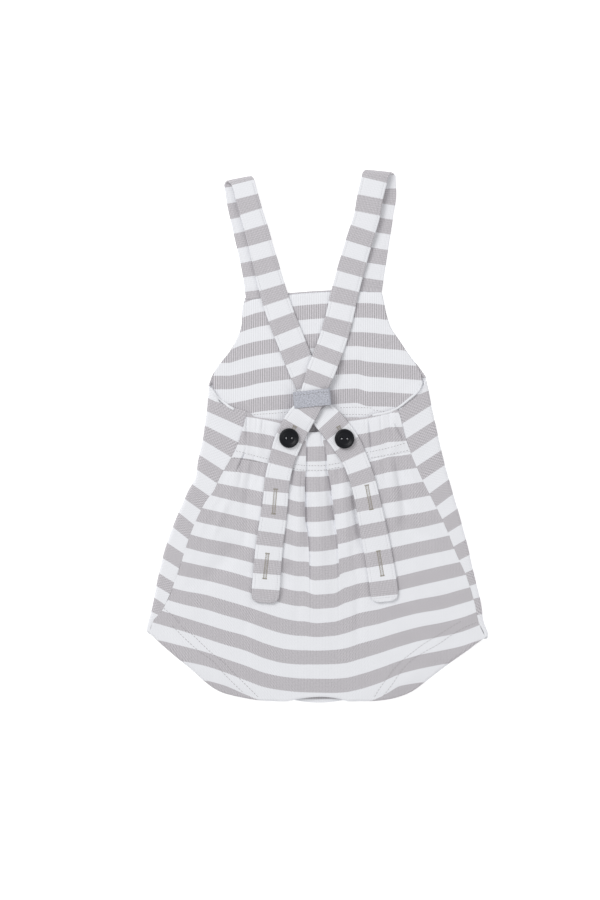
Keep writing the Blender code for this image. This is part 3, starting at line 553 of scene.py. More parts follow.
FRONT_RIGHT = Table(
    "stripe  edge_x  edge_y  turn  beyond  drop",
    (1.12, 129.2, -153.2, 100, 0.4, 0.0),
    (1.2, 129.9, -151.6, 180, 0.6, 0.0),
    (1.6, 126.0, -139.5, 180, 1.8, 0.7),
    (2.0, 124.5, -128.0, 180, 2.6, 0.9),
    (3.0, 119.4, -106.5, 180, 3.3, 2.3),
    (4.0, 114.3, -84.0, 180, 6.8, 5.2),
    (5.0, 108.0, -60.5, 180, 9.0, 7.4),
    (6.0, 101.4, -38.0, 180, 11.7, 10.8),
    (6.5, 98.3, -27.0, 180, 13.9, 11.5),
    (7.0, 95.4, -16.0, 180, 15.9, 12.2),
    (8.0, 90.3, 6.5, 180, 19.2, 14.3),
    (8.5, 87.7, 18.0, 180, 20.2, 14.4),
    (9.0, 85.5, 29.5, 180, 20.6, 14.8),
    (9.18, 84.8, 33.2, 180, 21.4, 14.4),
    (9.25, 84.6, 34.7, 180, 4.2, 2.4),
    (9.5, 83.5, 39.5, 150, 1.4, 0.8),
    (9.75, 82.2, 44.5, 60, 1.2, 0.0),
    (10.0, 79.0, 50.0, 0, 1.5, 0.0),
    (10.5, 70.5, 61.0, 0, 1.5, 0.0),
    (11.0, 62.5, 72.5, 0, 1.5, 0.0),
    (11.5, 55.5, 83.5, 0, 1.5, 0.0),
    (12.0, 52.0, 94.5, 0, 1.5, 0.0),
    (12.4, 50.5, 102.5, 0, 1.5, 0.0),
    (12.8, 48.5, 111.0, 0, 1.5, 0.0),
)
BIB_CROWN = Table("stripe  rise", (9.5, 0), (10.5, 0.6), (11.5, 1.8), (12.8, 2.2))
CROTCH_ROWS = Table(
    "row  left_x  left_y  right_x  right_y  middle_y",
    (0, -117.5, -152.5, 118.0, -154.2, -154.5),
    (1, -106.0, -159.5, 107.0, -158.5, -163.5),
    (2, -95.5, -167.0, 95.5, -166.0, -173.0),
    (3, -84.0, -176.0, 82.5, -174.5, -183.0),
    (4, -71.0, -184.5, 70.5, -183.5, -193.0),
    (5, -51.0, -190.5, 53.5, -190.5, -198.0),
    (6, -24.5, -198.5, 27.0, -198.5, -202.5),
)
# Beside the casing the turned cloth of the left side reaches further in than on the solids.
FRONT_LEFT.rows[:, 4] += np.interp(FRONT_LEFT.rows[:, 0], (7.9, 8.5, 9.0, 9.18, 9.24), (0, 1.4, 3.0, 4.3, 0))


# %% Front panel
def bent(along, turn):
    """Distance out and height along cloth that turns by turn degrees and then runs straight on."""
    arc = FOLD_R * math.radians(turn)
    angle = np.minimum(along, arc) / FOLD_R
    rest = along - np.minimum(along, arc)
    out = FOLD_R * np.sin(angle) + rest * np.cos(angle)
    return out, FOLD_R * (1 - np.cos(angle)) + rest * np.sin(angle)


def turned(turn, beyond, arc_steps, flat_steps):
    """Distance out, height and share of the way past the fold's apex, along a side that turns over."""
    first = max(FOLD_R * math.radians(turn), 2.5)
    flat = first + beyond * np.arange(1, flat_steps + 1) / flat_steps
    along = np.concatenate([first * np.arange(1, arc_steps + 1) / arc_steps, flat])
    out, up = bent(along, turn)
    apex = FOLD_R * math.pi / 2
    share = np.clip((along - apex) / max(along[-1] - apex, 0.1), 0, 1)
    return out, up, share


def bib_line(stripe, x, left, right):
    """y along one level of the front's cloth, between its ends."""
    share = (x - left[0]) / (right[0] - left[0])
    crown = BIB_CROWN.at("rise", stripe) * (1 - (2 * share - 1) ** 2)
    return left[1] + (right[1] - left[1]) * share + crown


def front_row(stripe, floor_columns=49, arc_steps=12, flat_steps=8):
    """Points of the front panel along one level of its cloth, from its left end to its right end."""
    sides = []
    for table, sign in ((FRONT_LEFT, -1), (FRONT_RIGHT, 1)):
        edge_x, edge_y, turn, beyond, drop = (table.at(n, stripe) for n in table.names[1:])
        out, up, share = turned(turn, beyond, arc_steps, flat_steps)
        start = edge_x - sign * (FOLD_R + CLOTH / 2 if turn >= 90 else out.max())
        sides.append((start, edge_y, start + sign * out, edge_y - drop * share, FLOOR_Z + up))
    (left_x, left_y, *left), (right_x, right_y, *right) = sides
    x = np.linspace(left_x, right_x, floor_columns)
    y = bib_line(stripe, x, (left_x, left_y), (right_x, right_y))
    floor = np.stack([x, y, np.full_like(x, FLOOR_Z)], 1)
    return np.concatenate([np.stack(left, 1)[::-1], floor, np.stack(right, 1)])


def crotch_row(row):
    """Points of the front panel between the legs, flat on the surface."""
    names = CROTCH_ROWS.names[1:]
    left_x, left_y, right_x, right_y, middle_y = (CROTCH_ROWS.at(n, row) for n in names)
    margin = np.linspace(0, 0.04, 21)[:-1]
    share = np.concatenate([margin, np.linspace(0.04, 0.96, 49), 1 - margin[::-1]])
    x = left_x + (right_x - left_x) * share
    sag = 1 - (2 * share - 1) ** 2
    y = left_y + (right_y - left_y) * share + (middle_y - (left_y + right_y) / 2) * sag
    return np.stack([x, y, np.full_like(x, FLOOR_Z)], 1)


def between(keys, most):
    """The keys with enough even steps between them that none is longer than most."""
    parts = [np.linspace(a, b, max(2, math.ceil((b - a) / most)) + 1)[:-1] for a, b in zip(keys, keys[1:])]
    return np.concatenate(parts + [keys[-1:]])


CROTCH_STRIPES = 2.64  # stripes of cloth from the legs' corners down to the foot of the crotch
levels = between(FRONT_LEFT.column("stripe"), 0.12)[::-1]
crotch_levels = np.linspace(0, 6, 25)
front_middle = np.stack([front_row(level) for level in levels] + [crotch_row(row) for row in crotch_levels])
front_levels = np.concatenate([levels, FRONT_LEFT.rows[0, 0] - CROTCH_STRIPES * crotch_levels / 6])
front_steps = np.diff(front_middle, axis=1, prepend=front_middle[:, :1])
front_run = np.cumsum(np.linalg.norm(front_steps, axis=2), axis=1)
front_run = front_run - front_run[:, front_run.shape[1] // 2][:, None]
front_v = np.broadcast_to(front_levels[:, None], front_run.shape)
# At the foot of the left side the stripes come a little lower, and the legs' corners stay white.
beside = np.clip((-front_middle[..., 0] - 106) / 6, 0, 1) * np.clip((-front_middle[..., 1] - 108) / 14, 0, 1)
front_v = front_v - 0.12 * beside
at_corner = (np.abs(front_middle[..., 0]) > 112) & (front_v > 0.4)
front_v = np.where(at_corner, np.maximum(front_v, 1.3), front_v)
front_cloth = np.stack([front_run, front_v * REPEAT], -1)
front_out = square_to(front_middle) * CLOTH / 2
outside, inside = front_middle + front_out, front_middle - front_out
front = shell("front_of_romper", outside, inside, front_cloth, face_jersey, rim=0.15)
bedded(front, "front_jersey", "front_panel")

# %% [markdown]
# ## Facing inside the bib
#
# The inside of the bib shows between the straps. It is a second layer of the same jersey seen from its
# reverse, where the wales stand out as fine upright ribs, raised in relief and with painted shade in the
# grooves between them. It is built from the front's own rows, moved up.

# %% Facing sizes
FACING_LEVELS = (12.72, 12.4, 12.0, 11.5, 11.0, 10.5, 10.0, 9.6, 9.2, 8.8)
FACING_HEM = Table("x  y", (-90, 13.8), (-50, 14.5), (-20, 16.0), (17, 17.2), (42, 16.8), (90, 15.5))
BEHIND_CASING = 5.0  # the facing's hem runs on this far down behind the casing
# How far the facing's side stays inside the front's: at the armholes the front turns up beside it.
FACING_INSET = Table("stripe  inset", (8.6, 3.4), (9.6, 3.2), (10.0, 1.6), (10.4, 0.5), (12.8, 0.4))
# Where the middle of each grey stripe runs on the facing, by x.
FACING_STRIPES = Table(
    "x  g13  g12  g11  g10  g9",
    (-66.4, 102.5, 80.7, 60.5, 41.0, 19.5),
    (-55.0, 106.8, 85.3, 64.7, 42.7, 21.8),
    (-43.6, 110.8, 88.7, 67.0, 45.7, 24.2),
    (-1.8, 116.7, 94.7, 72.3, 50.8, 27.9),
    (21.0, 117.6, 95.6, 73.5, 52.6, 30.4),
    (29.4, 117.6, 95.6, 73.6, 52.8, 30.7),
    (38.5, 117.5, 95.5, 73.1, 51.0, 28.2),
    (51.4, 116.0, 94.0, 71.8, 50.0, 28.0),
    (62.8, 114.5, 92.5, 70.8, 49.1, 27.3),
    (74.2, 112.6, 90.6, 69.3, 48.2, 26.6),
    (85.6, 111.0, 89.0, 67.8, 47.2, 25.6),
)
# Soft folds, each from its start to its end, with half its width and its height.
FACING_FOLDS = Table(
    "x  y  end_x  end_y  half_width  height",
    (35, 62, 33, 18, 2.4, -0.35),
    (29, 64, 27, 20, 3.0, 0.3),
    (-58, 78, -46, 44, 3.0, 0.3),
    (-66, 52, -40, 34, 3.4, -0.3),
    (58, 70, 74, 40, 3.0, 0.3),
    (72, 40, 52, 24, 3.0, -0.25),
)


# %% Facing
def folds(table, x, y):
    """Height that the folds of a table add at x, y."""
    total = np.zeros(np.shape(x))
    for start_x, start_y, end_x, end_y, half_width, height in table.rows:
        length = math.hypot(end_x - start_x, end_y - start_y)
        unit_x, unit_y = (end_x - start_x) / length, (end_y - start_y) / length
        along = ((x - start_x) * unit_x + (y - start_y) * unit_y) / length
        across = (x - start_x) * unit_y - (y - start_y) * unit_x
        fade = np.clip((along + 0.12) / 0.2, 0, 1) * np.clip((1.1 - along) / 0.6, 0, 1)
        total = total + height * eased(fade) * hump(across, half_width)
    return total


facing_rows = []
for level in between(FACING_LEVELS[::-1], 0.12)[::-1]:
    inset = FACING_INSET.at("inset", level)
    left_x, left_y = FRONT_LEFT.at("edge_x", level), FRONT_LEFT.at("edge_y", level)
    right_x, right_y = FRONT_RIGHT.at("edge_x", level), FRONT_RIGHT.at("edge_y", level)
    x = np.linspace(left_x + inset, right_x - inset, 97)
    facing_rows.append(np.stack([x, bib_line(level, x, (left_x, left_y), (right_x, right_y))], 1))
hem_x = facing_rows[-1][:, 0]
hem = np.stack([hem_x, FACING_HEM.at("y", hem_x) - BEHIND_CASING], 1)
facing_rows += [facing_rows[-1] * (1 - share) + hem * share for share in (0.25, 0.5, 0.75, 1)]
facing_plan = np.stack(facing_rows)
facing_x, facing_y = facing_plan[..., 0], facing_plan[..., 1]
facing_relief = folds(FACING_FOLDS, facing_x, facing_y)
upper = np.concatenate([facing_plan, (FACING_Z + FACING / 2 + facing_relief)[..., None]], -1)
lower = np.concatenate([facing_plan, np.full_like(facing_x, FACING_Z - FACING / 2)[..., None]], -1)
facing_cloth = np.stack([facing_x, stripe_height(FACING_STRIPES, facing_x, facing_y)], -1)
facing = shell("inside_of_bib", upper, lower, facing_cloth, back_side_jersey)
bedded(facing, "facing_jersey", "bib_facing")

# %% [markdown]
# ## Elastic casing and gathered back
#
# The top of the back is folded into a casing, and the elastic in it gathers the cloth into small upright
# ridges. Below its seam the ridges run on as folds that fade towards the seat. In the middle the cloth is
# laid in a box pleat: its stripes lie lower there, and the step between them is drawn by a value that each
# point carries, its distance inside the pleat.

# %% Sizes of the back
CASING_TOP = Table(
    "x  y",
    (-57.5, 18.5), (-54, 17.5), (-50, 15), (-40, 13.5), (-26.5, 11.5), (-13, 6), (-2.5, 3),
    (9.5, 7.5), (23, 14), (33, 14), (44, 16.5), (51, 18.5), (60, 20),
)  # fmt: skip
CASING_SEAM = Table(
    "x  y",
    (-63.5, -16.5), (-50.5, -18.5), (-37.5, -21), (-21, -25), (-9.5, -26.5), (2, -26.5),
    (17, -24), (29.5, -20.5), (41.5, -17), (55, -14.5), (69, -11.5),
)  # fmt: skip
CASING_CROWN = Table("share  height", (0, -1.0), (0.07, -0.15), (0.3, 0), (0.8, -0.1), (1, -0.9))
CASING_GATHERED = Table("share  strength", (0, 0.3), (0.12, 1), (0.6, 0.9), (1, 0.4))
CASING_GATHERS = Table(
    "x  half_width  height",
    (-55.0, 2.4, 0.5), (-50.0, 2.0, -0.4), (-44.5, 2.4, 0.5), (-39.0, 2.0, -0.4), (-33.5, 2.4, 0.4),
    (-12.0, 2.4, 0.4), (-7.0, 2.0, -0.3), (0.0, 3.4, 0.6), (7.5, 2.0, -0.4), (12.5, 2.6, 0.4),
    (36.0, 2.4, 0.4), (40.0, 2.0, -0.4), (46.0, 3.0, 0.5), (53.0, 2.0, -0.5), (58.5, 2.4, 0.5),
)  # fmt: skip
BACK_HEM = Table(
    "x  y",
    (-129.0, -149.2), (-125, -152.8), (-116.5, -159.8), (-106.5, -168.5), (-97.5, -175.8),
    (-85, -186.8), (-78.5, -191.6), (-71, -195.2), (-56, -198.8), (-42, -200.8), (-25, -201.4),
    (-12, -199.0), (3, -197.8), (14, -198.8), (25, -201.4), (42, -201.2), (54, -200.0),
    (64, -197.4), (72.5, -193.6), (82, -186.6), (99.5, -173.2), (109.5, -166), (119, -159.6),
    (128.6, -154.6),
)  # fmt: skip
HEM_TURN = Table(
    "along  turn  length",
    (0.0, 0, 0.8), (0.012, 40, 1.4), (0.032, 150, 4.4), (0.065, 180, 6.6), (0.12, 180, 9.5),
    (0.30, 180, 8.5), (0.335, 180, 6.6), (0.365, 120, 4.2), (0.39, 60, 2.6), (0.415, 20, 1.6),
    (0.5, 15, 1.5),
)  # fmt: skip
BACK_FOLDS = Table(
    "x  y  end_x  end_y  half_width  height",
    (-78, -27, -94, -75, 4.0, 0.5),
    (-60, -22, -77, -72, 4.0, 0.7),
    (-49, -20, -55, -64, 3.6, -0.9),
    (-40, -22, -48, -90, 5.0, 1.0),
    (-23, -26, -24, -98, 4.0, 0.8),
    (-14.5, -27, -15, -104, 4.2, 1.1),
    (-9.5, -24, -6.5, -96, 2.6, -1.2),
    (-1, -27, 3.5, -128, 6.0, 1.5),
    (8, -24, 15, -96, 2.6, -1.2),
    (18, -30, 24, -100, 4.2, 1.1),
    (27, -44, 34, -90, 2.6, -0.8),
    (40, -20, 50, -90, 5.0, 0.9),
    (54, -18, 61, -80, 4.0, 0.8),
    (62, -15, 68, -72, 3.6, -1.0),
    (72, -20, 82, -80, 4.0, 0.6),
    (-62, -84, -92, -118, 7.0, -0.7),
    (-98, -118, -84, -142, 6.0, 0.5),
    (62, -64, 93, -84, 7.0, -0.7),
    (31, -118, 31, -164, 3.6, -0.6),
    (-22, -98, -27, -132, 4.0, -0.6),
)
# The box pleat: where its two edges run, how far its stripes hang lower and how far it stands up.
PLEAT = Table(
    "below  left_x  right_x  shift  rise  crisp",
    (-8, -8.6, 3.6, 4.6, 0.3, 1),
    (5.0, -8.6, 4.4, 4.5, 0.8, 1),
    (13.3, -8.6, 7.2, 4.3, 1.0, 1),
    (24, -8.7, 7.4, 3.9, 1.0, 1),
    (36.6, -9.6, 10.3, 4.0, 1.0, 1),
    (61.8, -9.6, 13.2, 3.9, 1.0, 1),
    (79, -6.7, 15.4, 3.4, 0.9, 0.95),
    (98, -6.2, 16.4, 4.2, 0.7, 0.6),
    (112, -6.0, 17.0, 3.4, 0.4, 0.1),
    (123, -6.0, 17.2, 2.7, 0.25, 0),
    (146, -6.0, 17.6, 1.1, 0.1, 0),
    (170, -6.0, 18.0, 0.0, 0.0, 0),
)
# Where the middle of each grey stripe runs on the back and its casing, by x, as if there were no pleat.
BACK_STRIPES = Table(
    "x  g9  g8  g7  g6  g5  g4  g3  g2  g1  g0",
    (-127.2, 4.7, -16.6, -30.3, -51.6, -72.8, -94.9, -115.4, -134.4, -159.2, -181.2),
    (-100.6, 2.4, -19.6, -34.1, -56.9, -78.9, -101.0, -123.0, -142.8, -165.4, -187.6),
    (-85.4, 0.1, -20.4, -37.9, -60.7, -83.1, -104.0, -125.7, -148.1, -168.9, -190.6),
    (-70.2, -0.6, -21.2, -42.0, -63.9, -85.9, -107.3, -130.3, -152.9, -174.2, -194.4),
    (-55, -1.8, -22.0, -45.5, -67.5, -88.9, -111.9, -134.7, -156.9, -179.7, -201.3),
    (-39.8, -4.1, -25.7, -48.5, -70.9, -93.4, -116.5, -139.9, -163.1, -185.2, -206.6),
    (-24.6, -7.5, -29.7, -52.6, -75.4, -98.3, -121.5, -144.4, -167.1, -187.9, -208.9),
    (-13.2, -9.2, -32.4, -55.5, -78.3, -100.7, -123.3, -146.1, -167.9, -189.1, -209.6),
    (-1, -8.9, -32.6, -55.1, -78.5, -99.9, -123.0, -146.3, -167.8, -189.5, -210.0),
    (11.1, -7.9, -31.4, -53.9, -77.2, -98.8, -122.2, -145.3, -167.5, -189.7, -210.4),
    (21, -5.7, -29.4, -52.1, -75.3, -97.5, -120.7, -143.9, -166.6, -189.1, -210.0),
    (32.4, -4.0, -27.0, -48.4, -71.7, -94.5, -117.3, -139.8, -163.3, -186.6, -208.1),
    (47.6, -0.9, -23.3, -45.9, -69.0, -92.5, -115.0, -136.5, -158.8, -181.6, -203.6),
    (54, 1.2, -21.5, -44.8, -67.8, -90.9, -113.6, -134.6, -156.8, -179.1, -199.7),
    (62.8, 1.5, -20.2, -43.4, -66.2, -88.9, -111.7, -132.2, -154.1, -175.8, -194.2),
    (78, 3.9, -18.1, -40.5, -64.0, -85.3, -108.0, -128.7, -149.9, -171.2, -192.2),
    (93.2, 6.2, -15.8, -37.9, -60.3, -82.4, -104.2, -126.4, -146.9, -168.2, -189.1),
    (108.4, 8.5, -13.6, -34.8, -56.9, -78.9, -101.0, -121.9, -143.4, -165.0, -186.6),
    (123.6, 10.8, -10.5, -31.8, -53.8, -75.9, -97.2, -117.7, -137.4, -160.0, -181.5),
)
# The casing comes down onto the back towards its seam.
ONTO_BACK = Table("share  part", (0, 0), (0.8, 0), (0.9, 0.4), (1, 1))
# Small puckers that the elastic's seam puts into the cloth, and finer creases further down.
PUCKERS = Table(
    "x  y  end_x  end_y  half_width  height",
    (-53.5, 16, -54.2, -11, 0.7, -0.9),
    (-45.9, 14, -46.2, 1.6, 0.8, -0.45),
    (-41.3, 13, -42.1, 3, 0.8, -0.4),
    (-55.4, -13, -61.8, -28, 0.6, -1.3),
    (-47.9, -12, -47.9, -23, 0.8, -0.4),
    (36.2, 13, 36.2, 4, 0.8, -0.4),
    (39.0, 10, 41.2, -17, 0.5, -0.8),
    (54.6, 16, 56.9, -10, 0.8, -0.6),
    (58.6, 9, 67.4, -7, 0.55, -1.1),
    (48.0, 16, 49.0, -4, 0.9, -0.35),
    (-116, -131, -107, -138, 0.9, -0.45),
    (-107, -138, -102, -146, 0.9, -0.5),
    (-60, -18, -64, -34, 1.5, 0.30),
    (-56, -18, -60, -42, 1.3, -0.35),
    (-52, -19, -54, -33, 1.2, 0.25),
    (-46, -20, -50, -46, 1.6, 0.30),
    (-42.5, -21, -45, -38, 1.2, -0.35),
    (-37, -22, -39, -40, 1.4, 0.25),
    (-19, -26, -20, -44, 1.3, -0.35),
    (-17, -26, -18, -62, 1.4, 0.30),
    (-12, -27, -13, -50, 1.1, -0.30),
    (-4, -27, -3, -58, 1.6, 0.25),
    (1, -27, 3, -48, 1.3, -0.25),
    (5, -27, 7, -70, 1.5, 0.25),
    (12, -26, 15, -56, 1.2, 0.30),
    (15.5, -26, 18, -46, 1.1, -0.35),
    (38, -19, 42, -38, 1.3, 0.30),
    (42.5, -18, 46, -50, 1.3, -0.40),
    (46, -17, 50, -36, 1.3, 0.30),
    (50, -16, 54, -46, 1.4, -0.30),
    (54, -16, 58, -34, 1.3, 0.30),
    (58.5, -15, 63, -44, 1.3, -0.35),
    (64, -14, 68, -30, 1.3, 0.25),
    (26, -86, 32, -118, 2.2, -0.35),
    (-30, -70, -32, -104, 2.4, 0.30),
    (-52, -58, -58, -92, 2.6, -0.35),
    (-70, -52, -82, -84, 2.6, 0.35),
    (70, -50, 84, -76, 2.6, -0.40),
    (84, -60, 96, -100, 3.0, 0.35),
    (50, -112, 60, -150, 3.2, 0.30),
    (-46, -122, -58, -156, 3.4, -0.30),
    (6, -112, 8, -150, 3.0, 0.25),
    (-14, -120, -16, -156, 2.8, -0.25),
    (-88, -110, -70, -132, 3.0, 0.30),
)


# %% Casing and back as heights over the plan
CREASED = 1.6  # how strongly the small puckers show
FOLDS_RAISED, FOLDS_SUNK = 0.55, 0.7  # the cloth's top follows its folds more, and its troughs more still
AT_SEAM = 0.4  # the share of the folds that is left where the casing's seam holds the back flat
ABOVE_BACK = 0.06  # the casing's lower edge stands this little above the back
FULLNESS = 1.15  # the gathered cloth is this much wider than it lies


def front_ends(table, sign):
    """Where the front's turned cloth ends, level by level, beside the back."""
    stripe = table.column("stripe")
    rows = [front_row(level, 3, 5, 3) for level in stripe[stripe < 9.19]]
    return np.array([row[0] if sign < 0 else row[-1] for row in rows])


SEAM_ENDS = {-1: front_ends(FRONT_LEFT, -1), 1: front_ends(FRONT_RIGHT, 1)}


def side_seam(sign, y):
    """The point of a side seam at y."""
    ends = SEAM_ENDS[sign]
    x = smooth(ends[:, 1], ends[:, 0], y)
    z = smooth(ends[:, 1], ends[:, 2], y)
    return np.stack([x + sign * 0.5 * GAP, y, z], -1)


def pleat_inside(x, y):
    """Distance inside the box pleat, negative outside it."""
    return np.minimum(x - PLEAT.at("left_x", -y), PLEAT.at("right_x", -y) - x)


def pleat_relief(x, y):
    """The lip of cloth that stands beside the pleat, and the sunk line along it inside."""
    inside = pleat_inside(x, y)
    lip = np.exp(np.minimum(inside, 0) / 3.5) * np.clip(1 - inside / 0.5, 0, 1)
    return PLEAT.at("rise", -y) * (0.6 * lip - hump(inside - 0.7, 0.5))


def gathers(x):
    """Height that the casing's upright gathers add at x."""
    return sum(height * hump(x - middle, half_width) for middle, half_width, height in CASING_GATHERS.rows)


def casing_row(share, count):
    """Points along the casing, from side seam to side seam, at a share of the way down it."""
    even = np.linspace(0, 1, count)
    top_x = np.linspace(*CASING_TOP.column("x")[[0, -1]], count)
    low_x = np.linspace(*CASING_SEAM.column("x")[[0, -1]], count)
    x = top_x + (low_x - top_x) * share
    y = CASING_TOP.at("y", top_x) * (1 - share) + CASING_SEAM.at("y", low_x) * share
    left = side_seam(-1, y[:1])[0, 0] - x[0]
    right = side_seam(1, y[-1:])[0, 0] - x[-1]
    x = x + left * np.clip(1 - even / 0.1, 0, 1) + right * np.clip(1 - (1 - even) / 0.1, 0, 1)
    return x, y


def casing_height(x, share):
    """Top of the casing, at a share of the way from its top edge to its seam."""
    gathered = gathers(x) * CASING_GATHERED.at("strength", share)
    free = CASING_BOTTOM + CASING + CASING_CROWN.at("height", share) + gathered
    under = folds(BACK_FOLDS, x, CASING_SEAM.at("y", x))
    at_seam = AT_SEAM * ((1 + FOLDS_RAISED) * under + FOLDS_SUNK * np.minimum(under, 0))
    on_back = BACK_Z + CLOTH / 2 + at_seam + ABOVE_BACK
    return free + (on_back - free) * ONTO_BACK.at("part", share)


# %% Casing
CASING_COLUMNS = 421
LOWEST_CREASE, HIGHEST_RIDGE = -1.8, 0.8
upper, lower = [], []
for share in (0, 0.03, 0.07, 0.14, 0.22, 0.3, 0.4, 0.5, 0.6, 0.68, 0.76, 0.84, 0.9, 0.95, 1):
    x, y = casing_row(share, CASING_COLUMNS)
    relief = np.clip(CREASED * folds(PUCKERS, x, y) + pleat_relief(x, y), LOWEST_CREASE, HIGHEST_RIDGE)
    z = casing_height(x, share) + relief * min(1, share / 0.1)
    upper.append(np.stack([x, y, z], 1))
    lower.append(np.stack([x, y, np.full_like(x, CASING_BOTTOM)], 1))
upper, lower = np.stack(upper), np.stack(lower)


def back_cloth(x, y):
    """Place in the cloth, and the two values that draw the pleat's step in the stripes."""
    inside = pleat_inside(x, y)
    shift, crisp = PLEAT.at("shift", -y), PLEAT.at("crisp", -y)
    soft = eased(np.clip((inside + 5) / 10, 0, 1))
    height = stripe_height(BACK_STRIPES, x, y) + shift * (1 - crisp) * soft
    extras = [("pleat", np.clip(inside, -9, 9)), ("pleat_shift", shift * crisp * MM)]
    return np.stack([x * FULLNESS, height], -1), extras


cloth, extras = back_cloth(upper[..., 0], upper[..., 1])
casing = shell("elastic_casing", upper, lower, cloth, face_jersey, extras, rim=0.15)
bedded(casing, "waistband_jersey", "back_waistband")


# %% Back panel
def hem_line(count):
    """The back's outline at its foot, with the direction out of the cloth and the share of the way along."""
    fine_x = np.linspace(*BACK_HEM.column("x")[[0, -1]], 800)
    fine = np.stack([fine_x, BACK_HEM.at("y", fine_x)], 1)
    run = run_along(fine)
    at = np.linspace(0, run[-1], count)
    near = 4.0  # the direction is taken over this much to each side
    way = read(at + near, run, fine) - read(at - near, run, fine)
    return read(at, run, fine), unit(way[:, ::-1] * [1, -1]), at / run[-1]


def under_turn(along, steps):
    """A hem that turns under, at steps from its fold: out, drop and distance, and between them its reach."""
    near = min(along, 1 - along)
    turn, length = HEM_TURN.at("turn", near), HEM_TURN.at("length", near)
    run = length * np.arange(1, steps + 1) / steps
    out, down = bent(run, turn)
    if turn >= 90:
        reach = FOLD_R + CLOTH / 2
    else:
        reach = out.max() + CLOTH / 2 * math.sin(math.radians(turn))
    return out, np.minimum(down, BACK_Z - FLOOR_Z), reach, run


BACK_ROWS, HEM_STEPS, DENSE = 96, 12, 801
SIDE_COLUMNS, PLEAT_COLUMNS = 136, 14
# Columns that follow each edge of the pleat, by distance inside it.
NEAR_EDGE = np.array([-2.4, -1.4, -0.7, -0.25, 0, 0.25, 0.5, 0.75, 1.0, 1.4, 2.0])
spread = np.linspace(0, 1, DENSE)
outline, out_way, along = hem_line(DENSE)
turns = [under_turn(a, HEM_STEPS) for a in along]
foot = outline - out_way * np.array([t[2] for t in turns])[:, None]
top = np.stack(casing_row(1, DENSE), 1) - [0, 0.25 * GAP]
left = side_seam(-1, np.linspace(top[0, 1], FRONT_LEFT.rows[1, 2] - 0.4, BACK_ROWS))
right = side_seam(1, np.linspace(top[-1, 1], FRONT_RIGHT.rows[1, 2] - 0.4, BACK_ROWS))
foot = foot + np.clip(1 - spread / 0.05, 0, 1)[:, None] * (left[-1, :2] - foot[0])
foot = foot + np.clip(1 - (1 - spread) / 0.05, 0, 1)[:, None] * (right[-1, :2] - foot[-1])


def plan_row(row, u):
    """Points of the back at shares u of the way across, on one row of its patch."""
    w = row / (BACK_ROWS - 1)
    u2 = u[:, None]
    points = (1 - w) * (read(u, spread, top) - (1 - u2) * top[0] - u2 * top[-1])
    points = points + w * (read(u, spread, foot) - (1 - u2) * foot[0] - u2 * foot[-1])
    return points + (1 - u2) * left[row, :2] + u2 * right[row, :2]


plan, shares = [], []
for row in range(BACK_ROWS):
    line = plan_row(row, spread)
    wide = line[-1, 0] - line[0, 0]
    edges = [np.interp(0, line[:, 0] - PLEAT.at(name, -line[:, 1]), spread) for name in ("left_x", "right_x")]
    near_l, near_r = edges[0] + NEAR_EDGE / wide, edges[1] - NEAR_EDGE[::-1] / wide
    before = np.linspace(0, near_l[0], SIDE_COLUMNS)[:-1]
    between_edges = np.linspace(near_l[-1], near_r[0], PLEAT_COLUMNS)[1:-1]
    after = np.linspace(near_r[-1], 1, SIDE_COLUMNS)[1:]
    u = np.concatenate([before, near_l, between_edges, near_r, after])
    plan.append(plan_row(row, u))
    shares.append(u)
plan, shares = np.stack(plan), np.stack(shares)

# %% Folds of the back
# "inner" fades the folds out towards the side seams and the leg hems, and holds them down at the casing.
down_share = np.linspace(0, 1, BACK_ROWS)[:, None]
inner = np.clip(np.minimum(shares, 1 - shares) / 0.1, 0, 1) * np.clip((1 - down_share) / 0.12, 0, 1)
inner = inner * (AT_SEAM + (1 - AT_SEAM) * np.clip(down_share / 0.1, 0, 1))
plan_x, plan_y = plan[..., 0], plan[..., 1]
soft_folds = folds(BACK_FOLDS, plan_x, plan_y) * inner
height = BACK_Z + soft_folds
height[:, 0], height[:, -1] = left[:, 2], right[:, 2]
panel = np.concatenate([plan, height[..., None]], -1)
relief = CREASED * folds(PUCKERS, plan_x, plan_y) + pleat_relief(plan_x, plan_y)
relief = relief * np.clip(inner / AT_SEAM, 0, 1)
relief = relief + FOLDS_RAISED * soft_folds + FOLDS_SUNK * np.minimum(soft_folds, 0)
# The seam allowance makes a soft ridge this far inside each side seam, so wide and so high.
SEAM_RIDGE, RIDGE_HALF, RIDGE_HIGH = 6.0, 1.8, 0.35
for side_x in (left[:, :1], right[:, :1]):
    ridge = hump(np.abs(plan_x - side_x) - SEAM_RIDGE, RIDGE_HALF)
    relief = relief + RIDGE_HIGH * ridge * (1 - down_share)
LEG_MIDDLE, LEG_HALF, LEG_DROP = 66, 22, 1.7  # the leg edges bend down a little before they turn under
from_foot = np.clip(1 - (1 - down_share) * 18, 0, 1)
relief = relief - LEG_DROP * from_foot**2 * hump(np.abs(plan_x) - LEG_MIDDLE, LEG_HALF)

